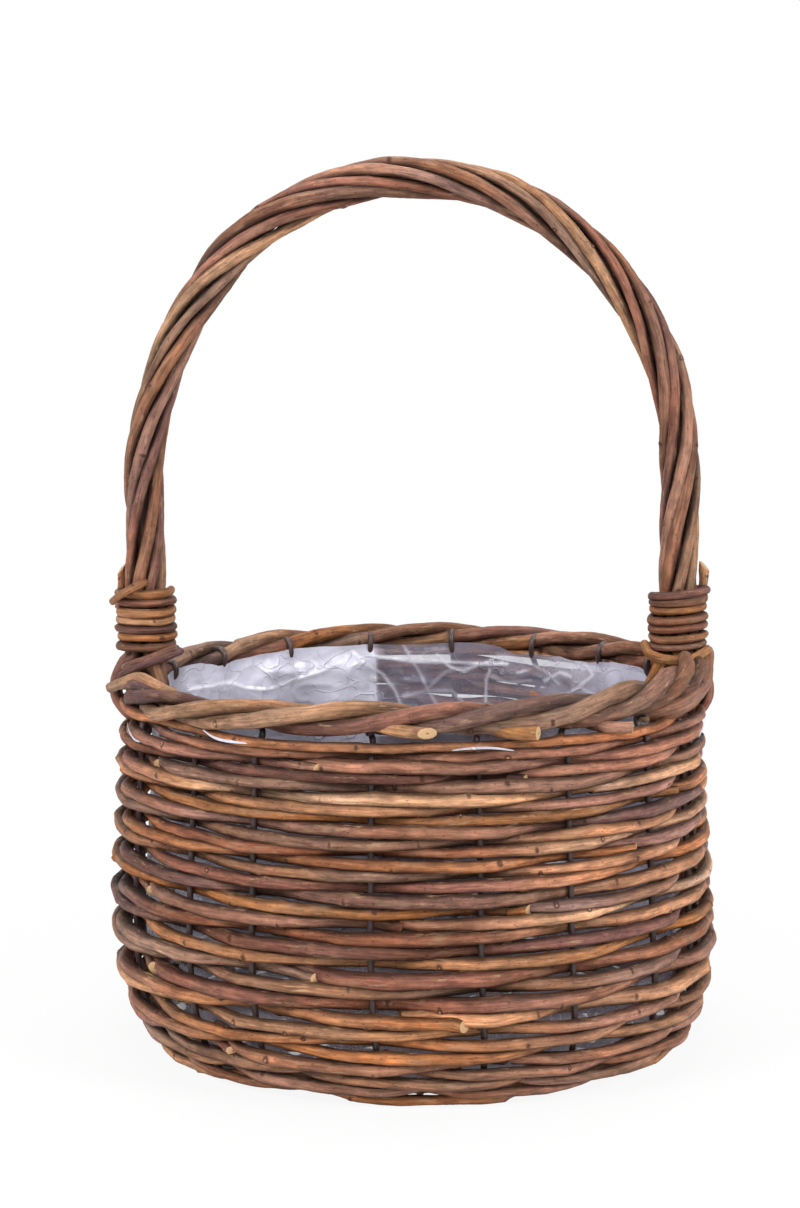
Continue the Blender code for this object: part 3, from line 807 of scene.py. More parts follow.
class Shader:
    """The nodes of a material or world. An input is a value or the output of another node."""

    def __init__(self, tree):
        self.tree = tree

    def fill(self, made, inputs):
        for key, value in inputs.items():
            if isinstance(value, bpy.types.NodeSocket):
                self.tree.links.new(value, made.inputs[key])
            else:
                made.inputs[key].default_value = value

    def node(self, kind, inputs=None, **settings):
        made = self.tree.nodes.new("ShaderNode" + kind)
        for name, value in settings.items():
            setattr(made, name, value)
        self.fill(made, inputs or {})
        return made

    def attribute(self, name, output="Fac"):
        return self.node("Attribute", attribute_name=name).outputs[output]

    def math(self, operation, first, second=0.0, clamp=False):
        return self.node("Math", {0: first, 1: second}, operation=operation, use_clamp=clamp).outputs[0]

    def times(self, first, second):
        return self.math("MULTIPLY", first, second)

    def plus(self, first, second, clamp=False):
        return self.math("ADD", first, second, clamp)

    def scaled(self, vector, scale):
        return self.node("VectorMath", {0: vector, 1: scale}, operation="MULTIPLY").outputs[0]

    def noise(self, vector, scale, detail=3.0, roughness=0.55):
        """Noise from 0 to 1 on a vector that is first stretched by three scales."""
        inputs = {"Vector": self.scaled(vector, scale), "Scale": 1.0, "Detail": detail}
        return self.node("TexNoise", {**inputs, "Roughness": roughness}).outputs["Fac"]

    def ranged(self, value, low, high, to_low=0.0, to_high=1.0):
        """A value from low to high turned into one between two others, and held there beyond them."""
        inputs = {"Value": value, "From Min": low, "From Max": high, "To Min": to_low, "To Max": to_high}
        return self.node("MapRange", inputs, interpolation_type="SMOOTHSTEP").outputs["Result"]

    def mixed(self, factor, first, second, blend_type="MIX"):
        """A mix of two colours."""
        made = self.node("Mix", data_type="RGBA", blend_type=blend_type)
        self.fill(made, {0: factor, 6: first, 7: second})
        return made.outputs[2]

    def shaded(self, colour, shade):
        """A colour times a shade."""
        grey = self.node("CombineColor", {0: shade, 1: shade, 2: shade}).outputs[0]
        return self.mixed(1.0, colour, grey, "MULTIPLY")


def new_material(name):
    material = bpy.data.materials.new(name)
    material.use_nodes = True
    return material, Shader(material.node_tree), material.node_tree.nodes["Principled BSDF"]


# Noises of the bark: scales along and across the rod, detail and roughness
BARK_NOISES = {
    "streak": ((70, 950, 950), 4.0, 0.6),
    "fibre": ((260, 3400, 3400), 2.0, 0.55),
    "mottle": ((150, 260, 260), 3.0, 0.55),
    "patch": ((45, 170, 170), 3.0, 0.6),
    "scuff": ((80, 420, 420), 4.0, 0.7),
}
SPECK_SCALE = (300, 560, 560)

# How each of them shades the bark: its range, and the shade at either end
BARK_SHADES = (
    ("streak", 0.25, 0.75, 0.58, 1.42),
    ("mottle", 0.25, 0.75, 0.74, 1.26),
    ("fibre", 0.2, 0.8, 0.84, 1.16),
    ("speck", 0.08, 0.22, 0.45, 1.0),
)

# How each raises the surface, as a share of the bump
BARK_HEIGHTS = (("fibre", 0.35), ("mottle", 0.6), ("scuff", 0.4))
BARK_BUMP = 0.5 * MM
BARK_SHINE = 0.20

STAIN = (0.46, 0.36, 0.42, 1)
BLOOM = (0.42, 0.25, 0.155, 1)
RUBBED_BARK = (0.50, 0.31, 0.185, 1)
# The dark of a bud scar and its ring: partly the scar's own colour, partly painted shade round the lump
SCAR_AND_SHADE = (0.040, 0.016, 0.012, 1)
BUD_BARK = (0.44, 0.24, 0.135, 1)
PALE_WOOD = (0.60, 0.38, 0.20, 1)
PITH = (0.28, 0.15, 0.07, 1)


def make_bark():
    """Bark in the painted tone: streaks, mottling, scuffs, specks, bud scars whose dark is partly painted
    shade, and peeled places.
    """
    material, tree, shader = new_material("willow_bark")
    tone, grain = tree.attribute("tone", "Color"), tree.attribute("grain", "Vector")
    wear, knot = tree.attribute("wear"), tree.attribute("knot")
    value = {name: tree.noise(grain, *settings) for name, settings in BARK_NOISES.items()}
    specks = {"Vector": tree.scaled(grain, SPECK_SCALE), "Scale": 1.0, "Randomness": 1.0}
    value["speck"] = tree.node("TexVoronoi", specks).outputs["Distance"]

    shade = reduce(tree.times, [tree.ranged(value[name], *limits) for name, *limits in BARK_SHADES])
    colour = tree.shaded(tone, shade)
    stained = tree.mixed(1.0, colour, STAIN, "MULTIPLY")
    colour = tree.mixed(tree.ranged(value["patch"], 0.45, 0.28, 0.0, 0.6), colour, stained)
    colour = tree.mixed(tree.ranged(value["patch"], 0.54, 0.72, 0.0, 0.34), colour, BLOOM)
    colour = tree.mixed(tree.ranged(value["scuff"], 0.58, 0.70, 0.0, 0.50), colour, RUBBED_BARK)
    knot = tree.plus(knot, tree.ranged(value["mottle"], 0.3, 0.7, -0.15, 0.15))
    # Dark rim of a bud scar and its partial ring: partly the scar's colour, partly painted shade round the
    # lump
    scar = tree.times(tree.ranged(knot, 0.22, 0.62), tree.ranged(knot, 0.88, 0.66))
    colour = tree.mixed(tree.times(scar, 0.85), colour, SCAR_AND_SHADE)
    colour = tree.mixed(tree.ranged(knot, 0.72, 0.90, 0.0, 0.70), colour, BUD_BARK)

    frayed = tree.times(tree.math("SUBTRACT", value["streak"], 0.5), 0.6)
    peeled = tree.ranged(tree.plus(wear, frayed), 0.30, 0.42)
    wood = tree.shaded(PALE_WOOD, tree.ranged(value["fibre"], 0.2, 0.8, 0.75, 1.1))
    wood = tree.mixed(tree.ranged(wear, 1.2, 1.8), wood, PITH)
    colour = tree.mixed(peeled, colour, wood)

    height = value["streak"]
    for name, share in BARK_HEIGHTS:
        height = tree.plus(height, tree.times(value[name], share))
    height = tree.plus(height, tree.ranged(value["speck"], 0.05, 0.25, -0.35, 0.0))
    height = tree.math("SUBTRACT", height, tree.times(scar, 0.6))
    bump = tree.node("Bump", {"Strength": 0.7, "Distance": BARK_BUMP, "Height": height})
    tree.fill(shader, {
        "Base Color": colour, "Roughness": tree.ranged(value["mottle"], 0.3, 0.7, 0.48, 0.74),
        "Specular IOR Level": BARK_SHINE, "Normal": bump.outputs["Normal"],
    })
    return material


BARK = make_bark()

WIRE_COLOUR = (0.046, 0.028, 0.025, 1)
WIRE_DUST = (0.16, 0.092, 0.070, 1)
DUST_SCALE = (420, 420, 160)
WIRE_GRAIN_SCALE = (2600, 2600, 2600)
WIRE_BUMP = 0.15 * MM


def wire_material():
    """Dark coated wire: a brown-black plastic skin with dust and rubbed places."""
    material, tree, shader = new_material("coated_wire")
    place = tree.node("TexCoord").outputs["Object"]
    dust = tree.noise(place, DUST_SCALE, 4.0, 0.65)
    fine = tree.noise(place, WIRE_GRAIN_SCALE, 2.0)
    bump = tree.node("Bump", {"Strength": 0.3, "Distance": WIRE_BUMP, "Height": fine})
    tree.fill(shader, {
        "Base Color": tree.mixed(tree.ranged(dust, 0.45, 0.75, 0.0, 0.55), WIRE_COLOUR, WIRE_DUST),
        "Roughness": tree.ranged(dust, 0.3, 0.7, 0.30, 0.55),
        "Normal": bump.outputs["Normal"],
    })
    return material


WIRE = wire_material()
WIRE_STEP = 1.6 * MM
WIRE_SIDES = 10
WIRE_TIP_SHARE = 0.04


def wire_tube(piece, route, radius):
    """A round wire along a route, with rounded ends."""
    curve, _, curve_marks = spline(route)
    marks = even_marks(curve_marks[-1], WIRE_STEP)
    points = read_rows(marks, curve_marks, curve)
    _, across, up = carried_frames(points)
    angles = np.linspace(0, TURN, WIRE_SIDES, endpoint=False)
    from_end = np.minimum(marks, marks[-1] - marks)
    rounding = np.sqrt(np.clip(1 - (1 - np.minimum(from_end / radius, 1)) ** 2, WIRE_TIP_SHARE, 1))
    ring = ring_directions(across, up, angles)
    vertices = (points[:, None, :] + ring * (radius * rounding)[:, None, None]).reshape(-1, 3)
    faces = closed_grid(len(marks), WIRE_SIDES)
    faces.append(tuple(range(WIRE_SIDES - 1, -1, -1)))
    faces.append(tuple(range((len(marks) - 1) * WIRE_SIDES, len(marks) * WIRE_SIDES)))
    piece.add(vertices, faces, np.zeros((len(vertices), PAINTED)))


# A wire's hook: how far in from the rim and how high, in millimetres. The hooks show on the far side
# only; where the sine of their angle is less than this share, the border hides a lower one
SHOWN_HOOK = ((4.6, 8.2, 8.8, 7.4, 3.6, 0.6), (169.0, 173.0, 178.0, 181.8, 183.0, 181.0))
HIDDEN_HOOK = ((4.6, 5.4, 5.2, 3.2, 0.6, -1.0), (167.0, 169.0, 171.0, 172.4, 172.8, 172.0))
HOOK_HIDDEN_FROM = 0.2
HOOK_LEAN = 2 * MM
HOOK_LIFT_SHARES = (0.2, 1)
STAKE_STRAIGHT_END = 0.1655
STAKE_STEPS = 22
STAKE_CHANGE = (0.25 * MM, 0.03)


def stake_route(index, rng):
    """A wire's way: foot in the base, round the corner, up the wall, then bent over into the border."""
    angle = stake_angles(index)
    distances = np.linspace(0, STAKE_STRAIGHT_END, STAKE_STEPS)
    radius, height = wall_place(distances, uneven(distances, STAKE_CHANGE, rng))
    radius = np.concatenate([[BASE_RADIUS - STAKE_FOOT_LENGTH], radius])
    height = np.concatenate([[BASE_THICKNESS / 2], height])
    hidden = math.sin(angle) < HOOK_HIDDEN_FROM
    hook_ins, hook_heights = (np.array(row) * MM for row in (HIDDEN_HOOK if hidden else SHOWN_HOOK))
    if not hidden:
        hook_heights += border_lift(angle) * np.linspace(*HOOK_LIFT_SHARES, len(hook_heights))
    lean = rng.uniform(-1, 1) * HOOK_LEAN / RIM_RADIUS * np.linspace(0, 1, len(hook_ins))
    angles = np.concatenate([np.full(len(radius), angle), angle + lean])
    radius = np.concatenate([radius, RIM_RADIUS - hook_ins])
    return around(radius, angles, np.concatenate([height, hook_heights]))


def make_stakes():
    rng = np.random.default_rng(5)
    for index in range(STAKE_COUNT):
        piece = Piece()
        wire_tube(piece, stake_route(index, rng), STAKE_RADIUS)
        piece.build(f"wire_stake_{index + 1:02d}", WIRE, [f"stake_{index + 1:02d}"])


# Where the border's rods cross its outer face, in degrees, with tone and diameter in millimetres
FRONT_BORDER = (
    (198.0, "plum", 7.0), (220.0, "tan", 6.9), (244.5, "tan", 7.4), (264.7, "rose", 7.7),
    (279.9, "dusk", 8.2), (300.8, "grey", 7.6), (318.4, "mauve", 8.6), (333.0, "brown", 7.8),
    (350.0, "brown", 7.2),
)
BACK_BORDER = (
    (10.0, "brown", 6.8), (30.0, "mauve", 7.2), (50.0, "rose", 7.4), (70.0, "brown", 7.6),
    (90.0, "orange", 7.2), (110.0, "tan", 7.4), (130.0, "grey", 7.8), (150.0, "rose", 7.2),
    (170.0, "plum", 6.8),
)
BORDER_GAP = math.radians(4.9)
BORDER_STEPS = 150
BORDER_SHADE = 0.88
BORDER_WIDTH_CHANGE = (0.05, 0.4)
BORDER_LAY_CHANGE = (0.10, 0.25)
BORDER_LOOK = {"knot_spacing": 0.055, "knot_height": 0.24, "peel": 0.5, "kink": 0.45 * MM, "crevice_shade": 0.5}

# Below this height the border's rods lie flatter, on the wall's top rods
BORDER_FLOOR = 171.6 * MM
BORDER_FLOOR_GIVE = 0.2

# How much the border's middle line is above its even height in millimetres, by degrees round the rim
BORDER_LIFT_ANGLES = (0, 20, 80, 115, 140, 160, 180, 190, 200, 217, 237, 262, 300, 325, 340, 352, 360)
BORDER_LIFTS = (
    -1.0, -1.6, -1.2, -3.6, -4.8, -5.6, -6.0, -7.0, -6.0, -4.6, -2.4, -1.2, -0.5, 1.2, 4.0, 6.0, -1.0,
)

# The thin tail of a wall's rod that lies under the border at the back
BACK_TAIL_DEGREES = (24, 122)
BACK_TAIL_HEIGHT = 170.9 * MM
BACK_TAIL_DIAMETER = 4.6 * MM
BACK_TAIL_IN = 1.0 * MM
BACK_TAIL_CHANGE = (0.5 * MM, 0.4)
BACK_TAIL_STEPS = 40

# Cut ends of rods that stand out under the border: tone, diameter in millimetres, how slanted the cut
# is, and the route as image x, image y and world y in millimetres
BORDER_STUBS = (
    ("tan", 5.6, 1.6, ((368, 722, -134), (390, 728.5, -141), (408, 731.5, -143.5), (427, 733, -144.5))),
    ("gold", 5.8, 0.5, ((474, 720, -124), (494, 729, -131), (516, 733, -134.5), (538, 733, -134))),
    ("mauve", 5.8, 0.5, ((568, 712, -100), (589, 723, -107), (609, 727.5, -112), (632, 727, -107.5))),
)
STUB_LOOK = {"knot_height": 0.1, "kink": 0.1 * MM, "facings": (None, FRONT), "pale": (False, True)}
STUB_START_SLANT = 0.2


def border_lift(angle):
    return np.interp(np.degrees(angle), BORDER_LIFT_ANGLES, BORDER_LIFTS) * MM


def border_rod(piece, rod, first, last, crossings, rng):
    """One border rod, which crosses the outer face at every third of the given places."""
    places = np.radians([degrees for degrees, _, _ in crossings])
    order = np.arange(len(places))
    angle = np.linspace(first, last, BORDER_STEPS)
    turns = np.interp(angle, places, order * TURN / BORDER_RODS)
    turns += (angle - np.clip(angle, places[0], places[-1])) * BORDER_TWISTS
    twist = turns - TURN * rod / BORDER_RODS
    number = np.clip(np.round(twist / TURN) * BORDER_RODS + rod, 0, len(places) - 1).astype(int)
    tone = tone_rows([crossings[place][1] for place in number])
    crossing = np.clip(twist / TURN * BORDER_RODS + rod, 0, len(places) - 1)
    width = np.interp(crossing, order, [size for _, _, size in crossings]) * MM
    width = width * (1 + uneven(angle, BORDER_WIDTH_CHANGE, rng))
    lay = BORDER_LAY_RADIUS * (1 + uneven(angle, BORDER_LAY_CHANGE, rng))
    radius = RIM_RADIUS + lay * np.cos(twist)
    height = BORDER_HEIGHT + border_lift(angle) + lay * np.sin(twist)
    height = np.maximum(height, BORDER_FLOOR + BORDER_FLOOR_GIVE * (height - BORDER_FLOOR))
    away = around(np.cos(twist), angle, np.sin(twist))
    add_rod(piece, around(radius, angle, height), width, BORDER_SHADE * tone, rng, away=away, **BORDER_LOOK)


def back_tail(piece, rng):
    angle = np.radians(np.linspace(*BACK_TAIL_DEGREES, BACK_TAIL_STEPS))
    height = BACK_TAIL_HEIGHT + uneven(angle, BACK_TAIL_CHANGE, rng)
    add_rod(piece, around(RIM_RADIUS - BACK_TAIL_IN, angle, height), BACK_TAIL_DIAMETER, TONES["tan"], rng)


def border_stub(piece, stub, rng):
    tone, width, slant, route = stub
    slants = (STUB_START_SLANT, slant)
    add_rod(piece, sighted(route), width * MM, TONES[tone], rng, slants=slants, **STUB_LOOK)


def make_border():
    rng = np.random.default_rng(21)
    for name, start, crossings in (("back", 0, BACK_BORDER), ("front", math.pi, FRONT_BORDER)):
        for rod in range(BORDER_RODS):
            piece = Piece()
            border_rod(piece, rod, start + BORDER_GAP, start + math.pi - BORDER_GAP, crossings, rng)
            if name == "back" and rod == 0:
                back_tail(piece, rng)
            if name == "front":
                border_stub(piece, BORDER_STUBS[rod], rng)
            piece.build(f"rim_rod_{name}_{rod + 1}", BARK, [f"border_rod_{name}_{rod + 1}"])


# The handle's rods: phase at the left foot in degrees, diameter in millimetres, tone
HANDLE_RODS = (
    (0, 6.4, "brown"), (54, 5.0, "rose"), (104, 6.1, "tan"), (154, 5.0, "grey"), (208, 6.3, "brown"),
    (260, 6.0, "mauve"), (309, 5.1, "rose"),
)
HANDLE_STEPS = 60
HANDLE_LAY_CHANGE = (0.4 * MM, 0.12)
HANDLE_TWIST_CHANGE = (0.16, 0.1)
HANDLE_WIDTH_CHANGE = (0.07, 9)
HANDLE_LOOK = {"knot_spacing": 0.06, "knot_height": 0.22, "peel": 0.35, "crevice_shade": 0.75}
HEART_DIAMETER = 7.0 * MM
HEART_BOTTOM = 174 * MM
HEART_SHADE = 0.4

# The left leg leans: how far along the handle, and how far to the right in millimetres
LEG_SHIFT_PLACES = (0.14, 0.22, 0.30, 0.38)
LEG_SHIFTS = (0.0, 2.2, 2.0, 0.0)


def handle_line(share):
    """Points of the handle's middle line and its outward direction, from the left foot to the right."""
    sweep = np.linspace(0, math.pi, LINE_STEPS + 1)
    across = np.concatenate([[-1], -np.cos(sweep), [1]]) * HANDLE_HALF_WIDTH
    height = HANDLE_SPRING_HEIGHT + HANDLE_RISE * np.sin(sweep)
    height = np.concatenate([[LEG_BOTTOM], height, [LEG_BOTTOM]])
    marks = np.concatenate([[0], np.cumsum(np.hypot(np.diff(across), np.diff(height)))])
    wanted = share * marks[-1]
    x, z = np.interp(wanted, marks, across), np.interp(wanted, marks, height)
    x = x + np.interp(share, LEG_SHIFT_PLACES, LEG_SHIFTS) * MM
    slope_x = np.interp(wanted, marks, np.gradient(across, marks))
    slope_z = np.interp(wanted, marks, np.gradient(height, marks))
    size = np.hypot(slope_x, slope_z)
    return np.stack([x, 0 * x, z], axis=1), np.stack([-slope_z / size, 0 * x, slope_x / size], axis=1)


# A foot outside the wall: how far out of the rim's middle it is, and its height, in millimetres. A
# foot inside it is straight
OUTER_FOOT_OUTS = (0.5, 5.0, 9.4, 9.2, 5.6)
OUTER_FOOT_HEIGHTS = (157.0, 161.0, 168.0, 176.0, 184.0)
INNER_FOOT_IN = 12.4 * MM
INNER_FOOT_HEIGHTS = (158.0, 172.0)
FOOT_SPREAD = 5.4 * MM


def foot_points(phase, side, leg):
    """A handle rod's foot, from its end up to the leg: outside the wall or inside it."""
    sideways = -FOOT_SPREAD * math.sin(phase)
    if math.cos(phase) > 0:
        lanes = RIM_RADIUS + np.array(OUTER_FOOT_OUTS) * MM
        heights = np.array(OUTER_FOOT_HEIGHTS) * MM
    else:
        lanes = np.full(len(INNER_FOOT_HEIGHTS), RIM_RADIUS - INNER_FOOT_IN)
        heights = np.array(INNER_FOOT_HEIGHTS) * MM
    across = side * np.sqrt(lanes ** 2 - sideways ** 2)
    points = np.stack([across, np.full(len(lanes), sideways), heights], axis=1)
    return np.vstack([points, (points[-1] + leg) / 2])


def handle_rod(piece, degrees, diameter, tone, middle, outward, rng):
    """One rod of the handle's twist, from foot to foot."""
    phase = math.radians(degrees)
    share = np.linspace(0, 1, HANDLE_STEPS)
    lay = (HANDLE_LAY_RADIUS + uneven(share, HANDLE_LAY_CHANGE, rng))[:, None]
    twist = phase + TURN * HANDLE_TWISTS * share + uneven(share, HANDLE_TWIST_CHANGE, rng)
    away = np.cos(twist)[:, None] * outward + np.sin(twist)[:, None] * FRONT
    route = middle + lay * away
    left_foot, right_foot = foot_points(phase, -1, route[0]), foot_points(phase, 1, route[-1])[::-1]
    route = np.vstack([left_foot, route, right_foot])
    away = np.vstack([
        np.repeat(away[:1], len(left_foot), axis=0), away, np.repeat(away[-1:], len(right_foot), axis=0),
    ])
    width = diameter * MM * (1 + uneven(np.arange(len(route)), HANDLE_WIDTH_CHANGE, rng))
    add_rod(piece, route, width, TONES[tone], rng, away=away, **HANDLE_LOOK)


def make_handle():
    rng = np.random.default_rng(31)
    middle, outward = handle_line(np.linspace(0, 1, HANDLE_STEPS))
    for number, rod in enumerate(HANDLE_RODS):
        piece = Piece()
        handle_rod(piece, *rod, middle, outward, rng)
        nodes = [f"handle_rod_{number + 1}"] if number < len(HANDLE_RODS) - 1 else []
        piece.build(f"handle_strand_{number + 1}", BARK, nodes)
    heart = Piece()
    foot = np.array((0, 0, HEART_BOTTOM - LEG_BOTTOM))
    route = np.vstack([middle[0] + foot, middle, middle[-1] + foot])
    add_rod(heart, route, HEART_DIAMETER, HEART_SHADE * np.array(TONES["dark"]), rng)
    heart.build("handle_heart", BARK, ["handle_core"])


# Rods at the legs that are seen only there: tone, diameter in millimetres, and the route as image x,
# image y and world y in millimetres
LEG_RODS = {
    "left": (
        ("tan", 6.0, ((110, 688, -8), (122, 683, -19), (138, 678, -27), (153, 684, -33), (168, 692, -38))),
        ("plum", 4.3, ((116, 680, 2), (127, 673, -14), (149, 664, -20), (170, 656, -14), (178, 652, 0))),
        ("dark", 4.0, ((120, 669, 2), (132, 664, -15), (151, 658, -19), (171, 650, -12), (176, 648, 0))),
        ("brown", 4.4, ((119, 606, 5), (121, 592, 4), (122.5, 580, 3), (122, 569, 3))),
        ("orange", 4.0, ((112, 601, -6), (118, 596, -14), (130, 589, -16), (142, 583, -10), (147, 580, 0))),
    ),
    "right": (
        ("brown", 7.4, (
            (706, 652, 4), (705.5, 664, -8), (704, 679, -18), (695, 694, -38), (679, 706, -64),
            (659, 712, -70), (640, 715, -70),
        )),
        ("gold", 4.6, ((661, 655, -4), (658, 663, -9), (655, 672, -12), (651, 681, -13))),
        ("orange", 4.4, ((668, 656, -6), (665, 665, -10), (661, 674, -14), (657, 684, -15))),
        ("tan", 4.6, ((701, 606, 5), (703, 592, 4), (704.5, 579, 3), (704, 566, 3))),
        ("gold", 4.6, ((645, 645, 0), (650, 653.5, -13), (666, 659, -20), (690, 658.5, -20), (709, 650, -5))),
    ),
}
LEG_ROD_LOOK = {"step": 1.8 * MM, "knot_spacing": 0.03, "slants": (0.3, 1.2)}
LEG_CUT_FACING = (1.0, -0.3, 0)

# Tones of a binding's turns, the rise of its rings to one side, and how uneven it is
BINDING_TONES = {
    "left": ("plum", "brown", "orange", "dark", "tan", "orange", "rose", "orange"),
    "right": ("gold", "brown", "orange", "rose", "brown", "orange", "brown", "rose"),
}
BINDING_RISE = {"left": -0.05, "right": 0.17}
BINDING_SHADE = 0.88
BINDING_STEPS = 16
BINDING_DIAMETER = 4.2 * MM
BINDING_WIDTH_CHANGE = (0.09, 0.9)
BINDING_OUT_CHANGE = (0.55 * MM, 0.7)
BINDING_UP_CHANGE = (0.45 * MM, 0.6)
BINDING_LOOK = {
    "step": 1.6 * MM, "knot_height": 0.3, "knot_spacing": 0.03, "oval": 0.10, "kink": 0.3 * MM,
    "crevice_shade": 0.6,
}


def binding_route(side, rise, rng):
    """Seven turns round a leg, whose rings rise a little to one side, and how far each point is."""
    turn = np.arange(BINDING_TURNS * BINDING_STEPS + 1) / BINDING_STEPS
    radius = BINDING_LOOP_RADIUS + uneven(turn, BINDING_OUT_CHANGE, rng)
    out = radius * np.cos(TURN * turn)
    height = BINDING_BOTTOM + BINDING_PITCH * turn + uneven(turn, BINDING_UP_CHANGE, rng)
    height = height + rise * side * -out
    x = side * (HANDLE_HALF_WIDTH - out)
    return np.stack([x, radius * np.sin(TURN * turn), height], axis=1), turn


def make_bindings():
    rng = np.random.default_rng(41)
    for name, side in (("left", -1), ("right", 1)):
        piece = Piece()
        route, turn = binding_route(side, BINDING_RISE[name], rng)
        tone = tone_rows([BINDING_TONES[name][round(place)] for place in turn]) * BINDING_SHADE
        width = BINDING_DIAMETER * (1 + uneven(turn, BINDING_WIDTH_CHANGE, rng))
        add_rod(piece, route, width, tone, rng, **BINDING_LOOK)
        facing = np.array(LEG_CUT_FACING) * (side, 1, 1)
        for leg_tone, leg_width, leg_route in LEG_RODS[name]:
            add_rod(piece, sighted(leg_route), leg_width * MM, TONES[leg_tone], rng, facings=(None, facing),
                    **LEG_ROD_LOOK)
        piece.build(f"leg_binding_{name}", BARK, [f"binding_{name}"])


# Colour of the painted highlight along the film's folds and crumpled lines
FILM_HIGHLIGHT = (0.88, 0.88, 0.97, 1)
FILM_WARP_SCALE = 18.0
FILM_WARP = (0.03, 0.03, 0.02)
FILM_CLOUD_SCALE = (30, 30, 44)
FILM_CLOUD_OPACITY = 0.10
FILM_LINES = (((34, 34, 52), 0.010), ((78, 78, 96), 0.014))
FILM_BUMP = 1.4 * MM


def film_material():
    """Thin clear film: glossy and soft, milky where it is doubled, with fine crumpled lines and a painted
    highlight along them and along its drawn folds.
    """
    material, tree, shader = new_material("clear_film")
    place = tree.node("TexCoord").outputs["Object"]
    tone = tree.attribute("tone", "Color")
    milky, fold = tree.attribute("wear"), tree.attribute("knot")
    warp = tree.node("TexNoise", {"Vector": place, "Scale": FILM_WARP_SCALE, "Detail": 2.0}).outputs["Color"]
    warped = tree.node("VectorMath", {0: place, 1: tree.scaled(warp, FILM_WARP)}, operation="ADD").outputs[0]
    cloud = tree.noise(place, FILM_CLOUD_SCALE, 4.0, 0.6)
    lines = []
    for scale, width in FILM_LINES:
        away = tree.math("ABSOLUTE", tree.math("SUBTRACT", tree.noise(warped, scale, 1.5, 0.4), 0.5))
        lines.append(tree.ranged(away, 0.0, width, 1.0, 0.0))
    crumple = tree.plus(lines[0], tree.times(lines[1], 0.6), True)
    # Painted highlight: the drawn folds and crumpled lines are painted lighter and more opaque
    bright = tree.plus(fold, tree.times(crumple, 0.22), True)
    clouded = tree.ranged(cloud, 0.35, 0.65, -FILM_CLOUD_OPACITY, FILM_CLOUD_OPACITY)
    opacity = tree.plus(tree.plus(milky, clouded), tree.times(bright, 0.45), True)
    colour = tree.mixed(bright, tree.shaded(tone, tree.ranged(cloud, 0.3, 0.7, 0.86, 1.14)), FILM_HIGHLIGHT)
    height = tree.plus(tree.times(crumple, 0.8), cloud)
    bump = tree.node("Bump", {"Strength": 0.6, "Distance": FILM_BUMP, "Height": height})
    tree.fill(shader, {
        "Base Color": colour, "Alpha": opacity, "Roughness": 0.24, "Normal": bump.outputs["Normal"],
    })
    return material


# The film: how far inside the stakes' line it hangs, and its mesh, which is finer above the split and
# at the back, where it shows
FILM_OFFSET = 8.0 * MM
FILM_START = 4 * MM
FILM_SPLIT_HEIGHT = 0.142
FILM_LOW_ROWS = 34
FILM_HIGH_ROWS = 40
FILM_BACK_DEGREES = (10, 170)
FILM_BACK_STEP = 0.4
FILM_FRONT_STEP = 1.25
FILM_FLOOR_SHARES = (0.02, 0.97)
FILM_FLOOR_ROWS = 16
FILM_FLOOR_GAP = 0.5 * MM
FILM_FLOOR_LIFT = 0.9 * MM
FILM_LEAST_GAP = 0.6 * MM

# How crumpled it is: columns and rows of each lattice, and its size in millimetres
FILM_CRUMPLES = ((13, 4, 2.4), (34, 9, 1.5), (80, 22, 0.7))
FILM_LEAST_CRUMPLE = -0.4 * MM
FILM_CRUMPLE_RISE = 4
FILM_FOLD_SHARE = 0.85
FILM_EDGE_CHANGE = 0.6 * MM
FILM_EDGE_LATTICE = (90, 1)
FILM_FLOOR_LATTICE = (30, 6)
FILM_HEM_FROM = 0.9
FILM_HEM_SHARE = 0.6

# The film's upper edge: degrees round the rim and height in millimetres
FILM_EDGE = (
    (0, 167), (8, 168), (15, 171), (23, 174), (34, 174), (42.5, 171), (51.7, 172.6), (64, 172),
    (68, 175.4), (75.5, 176.6), (85, 175.6), (97, 175.8), (107, 175.6), (118, 175.3), (129.6, 174),
    (135, 172.4), (142.5, 171), (149, 174.5), (156, 175), (163, 173.5), (172, 168), (188, 168), (200, 172),
    (270, 173.5), (340, 172), (352, 168), (360, 167),
)

# How milky the film is and its tone, by degrees round the rim, and both on the floor, from which they
# blend over the lowest share of the wall. The tones are partly the film's own and partly painted light
# and shade: lightest at the back left, from about 99 to 165 degrees, darkest at the front, 205 to 335
FILM_MILKY = (
    (0, 0.86), (15, 0.90), (40, 0.84), (52, 0.66), (60, 0.52), (96, 0.50), (98.2, 0.60), (99.4, 0.95),
    (128, 0.94), (165, 0.88), (190, 0.80), (205, 0.66), (335, 0.66), (350, 0.80), (360, 0.86),
)
FILM_TONES_AND_LIGHT = (
    (0, (0.46, 0.45, 0.55)), (20, (0.50, 0.49, 0.60)), (45, (0.52, 0.50, 0.61)), (60, (0.35, 0.33, 0.42)),
    (97.8, (0.32, 0.30, 0.39)), (99.4, (0.74, 0.73, 0.85)), (130, (0.68, 0.67, 0.79)),
    (165, (0.57, 0.56, 0.66)), (185, (0.42, 0.41, 0.48)), (205, (0.26, 0.25, 0.29)),
    (335, (0.26, 0.25, 0.29)), (360, (0.46, 0.45, 0.55)),
)
FILM_FLOOR_MILKY = 0.46
FILM_FLOOR_TONE = (0.40, 0.39, 0.46)
FILM_FLOOR_BLEND = 0.30

# How full the folds are, by degrees round the rim: the film lies flatter at the sides
FOLD_FULLNESS = (
    (0, 0.25), (25, 0.5), (45, 1), (130, 1), (150, 0.4), (180, 0.25), (215, 0.3), (240, 1), (310, 1),
    (335, 0.3), (360, 0.25),
)
